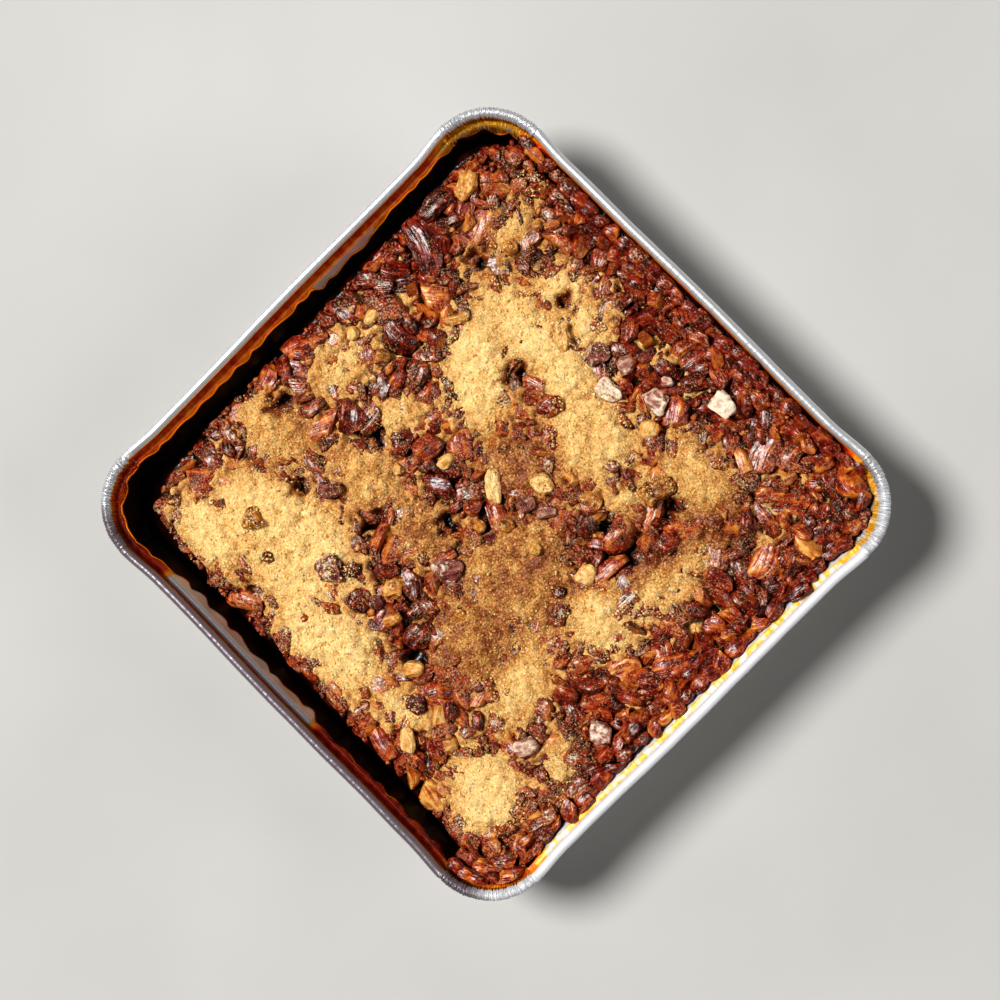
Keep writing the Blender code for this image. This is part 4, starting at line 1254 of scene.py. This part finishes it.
def pecans_on_ledge(units, rng):
    """Two rows of pieces where the filling rose: +Y, the corner +X -Y, and lower along +X."""
    before = None
    for column in around_pan(ROW_PLEATS):
        if column[0] in (1, 2) or column[0] == 0 and column[2] is None:
            continue
        lower = 1.6 * MM if column[0] == 3 and column[2] is not None else 0.0
        place, out = on_outline(column, WALL_TOP_HALF - 0.9 * MM - 0.9 * lower, 17 * MM)
        place -= out * drawn_in(column) * SIDE_DRAW
        if before and (place - before).length < rng.uniform(3.6, 6.0) * MM:
            continue
        before = place
        for inward, down in ((0.0, 0.0), (4.2 * MM, 3.4 * MM)):
            data, extent = rng.choice(units)
            size = extent * rng.uniform(6.0, 9.0) * MM / max(extent[0], 0.62)
            turn = math.atan2(out.y, out.x) + math.pi / 2 + rng.gauss(0, 0.3)
            x, y = place - out * (inward + rng.uniform(0.0, 1.2) * MM)
            z = LEDGE_Z - lower - down + 0.28 * size[2] + rng.uniform(-0.5, 0.6) * MM
            matrix = laid((x, y, z), turn, roll=rng.uniform(-0.5, 0.5))
            yield data, matrix @ Matrix.Diagonal((*(size / extent), 1)), x, y


def chopped_pecans(filling, crumb):
    """Chopped pecans laid on the syrup, and chips between them, up to the heap's height."""
    rng = random.Random(11)
    heap = Heap(filling, crumb)
    units, chips = unit_pecans(rng), unit_chips(rng)

    def look_at(x, y):
        """Tone and dusting of a piece that lies there."""
        place = Vector((x, y, 0))
        warm = 0.40 + 0.05 * (x - 0.7 * y) / (100 * MM)
        depth = heap.depth[heap.index(x, y)]
        patch = noise.noise(place / (14 * MM) + Vector((0, 0, 3)))
        dust = 0.45 + 0.5 * patch + 0.25 * ease(1 + depth / (16 * MM)) + rng.gauss(0, 0.15)
        tone = warm + 0.14 * noise.noise(place / (23 * MM)) + rng.gauss(0, 0.14)
        return {"tone": max(0.28, tone), "dust": max(0.0, min(1.0, dust))}

    big, small = [], []
    for number in range(filling.pieces):
        share = number / filling.pieces
        shorter = (filling.longest - filling.shortest) * min(1.0, share * 1.6) ** 0.85
        length = (filling.longest - shorter) * rng.uniform(0.88, 1.12)
        x, y = heap.lowest(rng, 1 + int(7 * share))
        data, extent = rng.choice(units)
        size = extent * length / max(extent[0], 0.62)
        turn, roll = rng.uniform(0, math.tau), rng.choice((0, 0, 0.5, -0.6, 1.4, -1.5, 2.9, 3.4))
        matrix = heap.lay(x, y, size, turn, roll, rng, 0.40, 0.6 * MM)
        if matrix:
            big.append((data, matrix @ Matrix.Diagonal((*(size / extent), 1)),
                        look_at(matrix.translation.x, matrix.translation.y)))
    for _ in range(filling.chips):
        length = rng.uniform(2.0, 5.0) * MM
        x, y = heap.lowest(rng, 8)
        data, extent = rng.choice(chips)
        matrix = heap.lay(x, y, extent * length, rng.uniform(0, math.tau), rng.uniform(-1, 1), rng,
                          0.3, 0.0)
        if matrix:
            small.append((data, matrix @ Matrix.Diagonal((length, length, length, 1)),
                          look_at(matrix.translation.x, matrix.translation.y)))
    big += [(data, matrix, look_at(x, y)) for data, matrix, x, y in pecans_on_ledge(units, rng)]
    finishes = pecan_finishes("glazed")
    half_way = len(big) // 2
    for obj in (joined("chopped_pecans_under", big[:half_way], finishes, 50, filling),
                joined("chopped_pecans_over", big[half_way:], finishes, 50, filling),
                joined("pecan_chips", small, finishes, 70, filling)):
        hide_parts("pecan_filling")


def food_tree(names):
    """A tree to drop things onto the named objects, and which object owns each of its faces."""
    points, faces, owners = [], [], []
    for name in names:
        mesh = bpy.data.objects[name].data
        owners += [name] * len(mesh.polygons)
        faces += [tuple(v + len(points) for v in face.vertices) for face in mesh.polygons]
        points += [v.co.copy() for v in mesh.vertices]
    return BVHTree.FromPolygons(points, faces), owners


def loose_pecans():
    """The largest loose pecans, each where its solid lies, sorted by finish."""
    rng = random.Random(23)
    groups, nodes = {kind: [] for kind in SLOTS}, {kind: [] for kind in SLOTS}
    for number, row in enumerate(LOOSE_PECANS, 1):
        x, y, length, width, height, turn, cut_a, cut_b, kind, tone = row
        node = f"pecan_piece_{number:02d}"
        low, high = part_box(node)
        bm = pecan_shape((length * MM, width * MM, height * MM), (cut_a, cut_b), rng, 28, 18)
        knobbly = (0.4 if kind == "glazed" else 0.8) * MM
        for vertex in bm.verts:  # knobs of 3 mm
            vertex.co *= 1 + knobbly / (0.5 * width * MM) * noise.noise(
                vertex.co / (2.6 * MM) + Vector((number * 7, 0, 0)))
        bmesh.ops.rotate(bm, verts=bm.verts, matrix=Matrix.Rotation(math.radians(turn), 3, "Z"))
        bottom, top = min(v.co.z for v in bm.verts), max(v.co.z for v in bm.verts)
        squash = (high.z - low.z + 0.5 * MM) / (top - bottom)
        bmesh.ops.scale(bm, verts=bm.verts, vec=(1, 1, squash))
        shift = Vector((x * MM, y * MM, low.z - 0.5 * MM - bottom * squash))
        dust = 0.4 if kind == "glazed" else tone
        groups[kind].append((arrays(bm), Matrix.Translation(shift), {"tone": tone, "dust": dust}))
        nodes[kind].append(node)
    for kind, copies in groups.items():
        obj = joined(f"loose_pecans_{kind}", copies, pecan_finishes(kind))
        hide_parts(*nodes[kind])


def small_pecans():
    """Small loose pecan pieces that lie on the crumb and between the pecans."""
    rng = random.Random(59)
    food, _ = food_tree(("crumb_topping", "chopped_pecans_under", "chopped_pecans_over",
                         "syrup_filling"))
    groups = {kind: [] for kind in SLOTS}
    for x, y, length, width, turn, kind, tone in SMALL_PECANS:
        size = (length * MM, width * MM, min(0.8 * width, 3.8) * MM)
        bm = pecan_shape(size, (rng.uniform(0, 0.15), rng.uniform(0, 0.2)), rng, 18, 10)
        heights = []
        for dx, dy in ((0, 0), (1.2, 0), (-1.2, 0), (0, 1.2), (0, -1.2)):
            place, *_ = food.ray_cast(Vector((x * MM + dx * MM, y * MM + dy * MM, DROP_Z)), DOWN)
            heights.append(place.z)
        matrix = laid((x * MM, y * MM, sorted(heights)[2] + 0.22 * size[2]), math.radians(turn),
                      rng.uniform(-0.25, 0.25), rng.uniform(-0.4, 0.4))
        groups[kind].append((arrays(bm), matrix, {"tone": tone, "dust": 0.5 * tone}))
    for kind, copies in groups.items():
        joined(f"small_pecans_{kind}", copies, pecan_finishes(kind))


# ---------------------------------------------------------------------------------------------
# Crumb and sugar

CRUMB_REACH, CRUMB_PITCH, GRAINS_REACH = 93 * MM, 0.6 * MM, 94 * MM


def clods_on(axis, number, rng):
    """How high clods stand out of the crumb: half balls stamped on a grid of places."""
    stamp = np.zeros((len(axis), len(axis)))
    for _ in range(number):
        cx, cy = (rng.uniform(-CRUMB_REACH, CRUMB_REACH) for _ in range(2))
        radius = rng.choice((0.8, 1.0, 1.2, 1.2, 1.6, 2.1)) * MM
        i0, i1 = np.searchsorted(axis, (cx - radius, cx + radius))
        j0, j1 = np.searchsorted(axis, (cy - radius, cy + radius))
        gx, gy = np.meshgrid(axis[i0:i1], axis[j0:j1], indexing="ij")
        ball = radius ** 2 - (gx - cx) ** 2 - (gy - cy) ** 2
        rise = np.sqrt(np.clip(ball, 0, None)) * 0.55 - 0.15 * MM
        stamp[i0:i1, j0:j1] = np.maximum(stamp[i0:i1, j0:j1], rise)
    return stamp


def crumb_sheet(filling, crumb):
    """The crumb topping: one sandy layer with clods in it, sinking between the pecans."""
    rng = random.Random(31)
    count = int(2 * CRUMB_REACH / CRUMB_PITCH)
    bm = bmesh.new()
    bmesh.ops.create_grid(bm, x_segments=count, y_segments=count, size=CRUMB_REACH)
    xy = np.array([v.co[:2] for v in bm.verts])
    x, y = xy[:, 0], xy[:, 1]
    depth = crumb_depth(x, y)
    top = crumb_height(x, y, depth, filling, crumb)
    cells = np.round((xy + CRUMB_REACH) / (2 * CRUMB_REACH) * count).astype(int)
    stamp = clods_on(np.linspace(-CRUMB_REACH, CRUMB_REACH, count + 1), crumb.clods, rng)
    top += stamp[cells[:, 0], cells[:, 1]]
    top += np.array([rng.uniform(-0.10, 0.10) for _ in range(len(x))]) * MM
    syrup = surface_height(x, y, filling.surface) - filling.syrup_sunk
    # damp attribute: lightest deep inside the mounds, darker at their edges, darkest where soaked
    shade = (0.36 - 0.22 * ease(depth / (8 * MM)) - 0.04 * ease(-depth / (12 * MM))
             + 0.55 * dampness(x, y))
    layer = bm.verts.layers.float.new("damp")
    for vertex, z, value in zip(bm.verts, np.maximum(top, syrup - 0.8 * MM), shade):
        vertex.co.z = z
        vertex[layer] = value
    keep = (top > syrup - 0.4 * MM) & (wall_distance(x, y, EDGE_Z) > 2.4 * MM + trench(x, y))
    gone = [v for v, kept in zip(bm.verts, keep) if not kept]
    while gone:  # and then what is loose, and places where two patches touch at one point
        bmesh.ops.delete(bm, geom=gone, context="VERTS")
        gone = [v for v in bm.verts
                if not v.link_faces or sum(e.is_boundary for e in v.link_edges) > 2]
    bmesh.ops.delete(bm, geom=[e for e in bm.edges if e.is_wire], context="EDGES")
    # its edges go down into the syrup, and a flat underside closes it
    made = bmesh.ops.extrude_edge_only(bm, edges=open_edges(bm))["geom"]
    for vertex in made:
        if isinstance(vertex, bmesh.types.BMVert):
            slope = SURFACE_TILT[0] * vertex.co.x + SURFACE_TILT[1] * vertex.co.y
            vertex.co.z = (filling.surface + slope / wall_half(EDGE_Z)
                           - filling.syrup_sunk - 2.4 * MM)
    rims = [item for item in made if isinstance(item, bmesh.types.BMEdge) and item.is_boundary]
    bmesh.ops.triangle_fill(bm, edges=rims, normal=(0, 0, -1))
    face_out(bm)
    obj = place_bmesh("crumb_topping", bm, brown_sugar_crumb("brown_sugar_crumb", crumb, 0.5))
    nodes = [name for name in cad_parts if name.startswith("crumb_topping")]
    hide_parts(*nodes)


def grain_shape(solid, rng):
    """A grain about 1 across with few faces: a clod of 20 or a crystal of 4."""
    bm = new_bmesh()
    if solid == "clod":
        bmesh.ops.create_icosphere(bm, subdivisions=1, radius=0.5, calc_uvs=True)
    else:
        bmesh.ops.create_cone(bm, cap_ends=True, segments=3, radius1=0.6, radius2=0.0,
                              depth=0.28, calc_uvs=True)
    for vertex in bm.verts:
        vertex.co *= rng.uniform(0.7, 1.25)
    bmesh.ops.triangulate(bm, faces=bm.faces)
    return arrays(bm)


def scattered_grains(crumb):
    """Crumb grains and sugar specks, each on what lies under it."""
    rng = random.Random(47)
    names = ("crumb_topping", "chopped_pecans_under", "chopped_pecans_over", "pecan_chips",
             "syrup_filling", "loose_pecans_glazed", "loose_pecans_tan", "loose_pecans_pale",
             "small_pecans_glazed", "small_pecans_tan", "small_pecans_pale")
    food, owners = food_tree(names)

    def turned(place, normal, size, lean):
        """The matrix of a grain that lies on a slope."""
        upright = (normal + Vector((0, 0, 0.6))).to_track_quat("Z", "Y").to_matrix().to_4x4()
        spin = Matrix.Rotation(rng.uniform(0, math.tau), 4, "Z") @ Matrix.Rotation(
            rng.uniform(-lean, lean), 4, "X")
        return (Matrix.Translation(place) @ upright @ spin
                @ Matrix.Diagonal((size, size, size * 0.8, 1)))

    def scatter(shapes, count, sizes, lean, chance_at, kinds):
        """Copies that land where chance_at(depth, strewn, patch) allows, smaller off the crumb.

        None lands on the objects named in kinds.
        """
        found = []
        spots = np.array([[rng.uniform(-GRAINS_REACH, GRAINS_REACH) for _ in range(2)]
                          for _ in range(3 * count)])
        x, y = spots[:, 0], spots[:, 1]
        depth, damp = crumb_depth(x, y), dampness(x, y)
        patch = lumps(x, y, 7 * MM, 5 * MM)
        chance = chance_at(depth, strewn(x, y, depth + 6 * MM * patch), patch)
        chance = np.where(wall_distance(x, y, EDGE_Z) > 0.6 * MM, chance, 0)
        for k in range(len(spots)):
            if len(found) >= count or rng.random() > chance[k]:
                continue
            place, normal, index, _ = food.ray_cast(Vector((x[k], y[k], DROP_Z)), DOWN)
            if place is None or owners[index] in kinds:
                continue
            size = (sizes[0] + (sizes[1] - sizes[0]) * rng.random() ** 2.2) * MM
            size *= 0.6 + 0.4 * ease(depth[k] / (3 * MM))
            amounts = {"damp": 0.12 + rng.gauss(0, 0.12) + 0.5 * damp[k],
                       "tone": min(1.0, max(0.0, rng.gauss(0.55, 0.25)))}
            place = place + Vector((0, 0, 0.05 * size))
            found.append((rng.choice(shapes), turned(place, normal, size, lean), amounts))
        return found

    clods = [grain_shape("clod", rng) for _ in range(8)]
    crystals = [grain_shape("crystal", rng) for _ in range(8)]
    on_crumb = scatter(clods, crumb.grains, (0.45, 1.25), math.pi,
                       lambda depth, near, patch: ease((depth + 4 * MM + 3 * MM * patch)
                                                       / (8 * MM)),
                       ("syrup_filling",))
    dust = scatter(crystals, crumb.dust, (0.5, 1.0), 0.2,
                   lambda depth, near, patch: ((near + 0.5 * patch)
                                                 * (0.8 - 0.4 * ease(depth / (6 * MM)))),
                   ("syrup_filling",))
    on_nuts = scatter(crystals, crumb.sugar, (0.35, 0.8), 0.25,
                      lambda depth, near, patch: np.where(depth > 3 * MM, 0,
                                                          0.25 + 0.5 * near + 0.5 * patch),
                      ("syrup_filling", "crumb_topping"))
    clod_finish = brown_sugar_crumb("loose_crumb_grain", crumb, 0.3)
    for name, copies, crease in (("crumb_grains", on_crumb, 180), ("crumb_dust", dust, 0)):
        joined(name, copies, [clod_finish], crease)
    joined("sugar_specks", on_nuts, [sugar_crystal()], crease=0)


# ---------------------------------------------------------------------------------------------
# Stage

LAMP_AWAY, KEY_SIZE, FILL_SIZE, FLOOR_HALF = 3.0, 1.0, 1.6, 2.5  # metres
SENSOR = 36  # mm


def lamp(name, power, size, turn, height, centre):
    """A round soft light that shines on the centre from 3 m away."""
    light = bpy.data.lights.new(name, "AREA")
    light.shape, light.size, light.energy = "DISK", size, power
    obj = bpy.data.objects.new(name, light)
    flat = math.cos(height)
    obj.location = centre + LAMP_AWAY * Vector((flat * math.cos(turn), flat * math.sin(turn),
                                                math.sin(height)))
    obj.rotation_euler = (centre - obj.location).to_track_quat("-Z", "Y").to_euler()
    bpy.context.scene.collection.objects.link(obj)


def stage(setup):
    """Pale floor, soft studio light and the camera above the pan."""
    scene = bpy.context.scene
    bm = bmesh.new()
    bmesh.ops.create_grid(bm, x_segments=2, y_segments=2, size=FLOOR_HALF)
    mesh = bpy.data.meshes.new("floor")
    bm.to_mesh(mesh)
    bm.free()
    mesh.materials.append(matt_floor(setup.floor_colour))
    floor = bpy.data.objects.new("floor", mesh)
    floor.location.z = -0.2 * MM
    scene.collection.objects.link(floor)

    centre = Vector((0, 0, PAN_HIGH.z))
    lamp("key", setup.light_power, KEY_SIZE, setup.light_turn, setup.light_height, centre)
    lamp("fill", setup.fill_power, FILL_SIZE, setup.fill_turn, setup.fill_height, centre)
    scene.world = bpy.data.worlds.new("studio")
    scene.world.use_nodes = True
    tree = scene.world.node_tree
    up = add(tree, "SeparateXYZ", "Z", Vector=add(tree, "TexCoord", "Generated"))
    plug(tree, tree.nodes["Background"], Strength=0.30, Color=add(tree, "ValToRGB", Fac=up, stops=(
        (0.0, "#C8C8C8"), (0.35, "#888888"), (0.7, "#202020"), (1.0, "#060606"))))

    camera = bpy.data.cameras.new("camera")
    camera.sensor_width = SENSOR
    camera.lens = SENSOR * setup.distance / setup.seen
    camera.clip_start, camera.clip_end = 0.01, 10
    eye = bpy.data.objects.new("camera", camera)
    lean = math.sin(setup.tilt) / math.sqrt(2)
    back = Vector((lean, lean, math.cos(setup.tilt)))
    across = (Vector((-1, 1, 0)) / math.sqrt(2)).cross(back).normalized()
    up = back.cross(across)
    aimed = centre + across * setup.aim[0] + up * setup.aim[1]
    eye.matrix_world = Matrix.Translation(aimed + back * setup.distance) @ Matrix(
        (across, up, back)).transposed().to_4x4()
    scene.collection.objects.link(eye)
    scene.camera = eye
    scene.view_settings.view_transform = "Standard"
    scene.view_settings.look = "Medium High Contrast"


# ---------------------------------------------------------------------------------------------
# Operators and panel


class Making:
    """What the operators share: makes lists functions and the groups of settings each one takes."""

    def execute(self, context):
        for make, *groups in self.makes:
            make(*[getattr(context.scene, "cobbler_" + group) for group in groups])
        return {"FINISHED"}


class COBBLER_OT_pan(Making, bpy.types.Operator):
    """Make the foil pan"""

    bl_idname, bl_label = "cobbler.pan", "Foil pan"
    makes = ((foil_pan, "pan"),)


class COBBLER_OT_syrup(Making, bpy.types.Operator):
    """Make the syrup filling and the rind baked onto the foil"""

    bl_idname, bl_label = "cobbler.syrup", "Syrup"
    makes = ((syrup_core, "filling"), (syrup_rim,))


class COBBLER_OT_chopped(Making, bpy.types.Operator):
    """Heap chopped pecans and chips on the syrup"""

    bl_idname, bl_label = "cobbler.chopped", "Chopped pecans"
    makes = ((chopped_pecans, "filling", "crumb"),)


class COBBLER_OT_crumb(Making, bpy.types.Operator):
    """Spread the crumb topping"""

    bl_idname, bl_label = "cobbler.crumb", "Crumb topping"
    makes = ((crumb_sheet, "filling", "crumb"),)


class COBBLER_OT_loose(Making, bpy.types.Operator):
    """Lay the loose pecans on the crumb and between the others"""

    bl_idname, bl_label = "cobbler.loose", "Loose pecans"
    makes = ((loose_pecans,), (small_pecans,))


class COBBLER_OT_grains(Making, bpy.types.Operator):
    """Scatter loose crumb grains and sugar specks"""

    bl_idname, bl_label = "cobbler.grains", "Grains and sugar"
    makes = ((scattered_grains, "crumb"),)


class COBBLER_OT_stage(Making, bpy.types.Operator):
    """Set the floor, light and camera"""

    bl_idname, bl_label = "cobbler.stage", "Stage"
    makes = ((stage, "stage"),)


class COBBLER_PT_panel(bpy.types.Panel):
    """Lists the cobbler's pieces and settings"""

    bl_idname, bl_label = "COBBLER_PT_panel", "Pecan cobbler"
    bl_space_type, bl_region_type, bl_category = "VIEW_3D", "UI", "Cobbler"

    def draw(self, context):
        for operator in OPERATORS:
            self.layout.operator(operator.bl_idname)
        for name in SETTINGS:
            group = getattr(context.scene, name)
            for key in group.bl_rna.properties.keys():
                if key not in ("rna_type", "name"):
                    self.layout.prop(group, key)


OPERATORS = (COBBLER_OT_pan, COBBLER_OT_syrup, COBBLER_OT_chopped, COBBLER_OT_crumb,
             COBBLER_OT_loose, COBBLER_OT_grains, COBBLER_OT_stage)
SETTINGS = {"cobbler_pan": PanSettings, "cobbler_filling": FillingSettings,
            "cobbler_crumb": CrumbSettings, "cobbler_stage": StageSettings}


def register():
    for cls in (*SETTINGS.values(), *OPERATORS, COBBLER_PT_panel):
        bpy.utils.register_class(cls)
    for name, cls in SETTINGS.items():
        setattr(bpy.types.Scene, name, PointerProperty(type=cls))


def unregister():
    for name in SETTINGS:
        delattr(bpy.types.Scene, name)
    for cls in reversed((*SETTINGS.values(), *OPERATORS, COBBLER_PT_panel)):
        bpy.utils.unregister_class(cls)


def main():
    register()
    bpy.ops.cobbler.pan()
    bpy.ops.cobbler.syrup()
    bpy.ops.cobbler.chopped()
    bpy.ops.cobbler.crumb()
    bpy.ops.cobbler.loose()
    bpy.ops.cobbler.grains()
    bpy.ops.cobbler.stage()


if __name__ == "__main__":
    main()
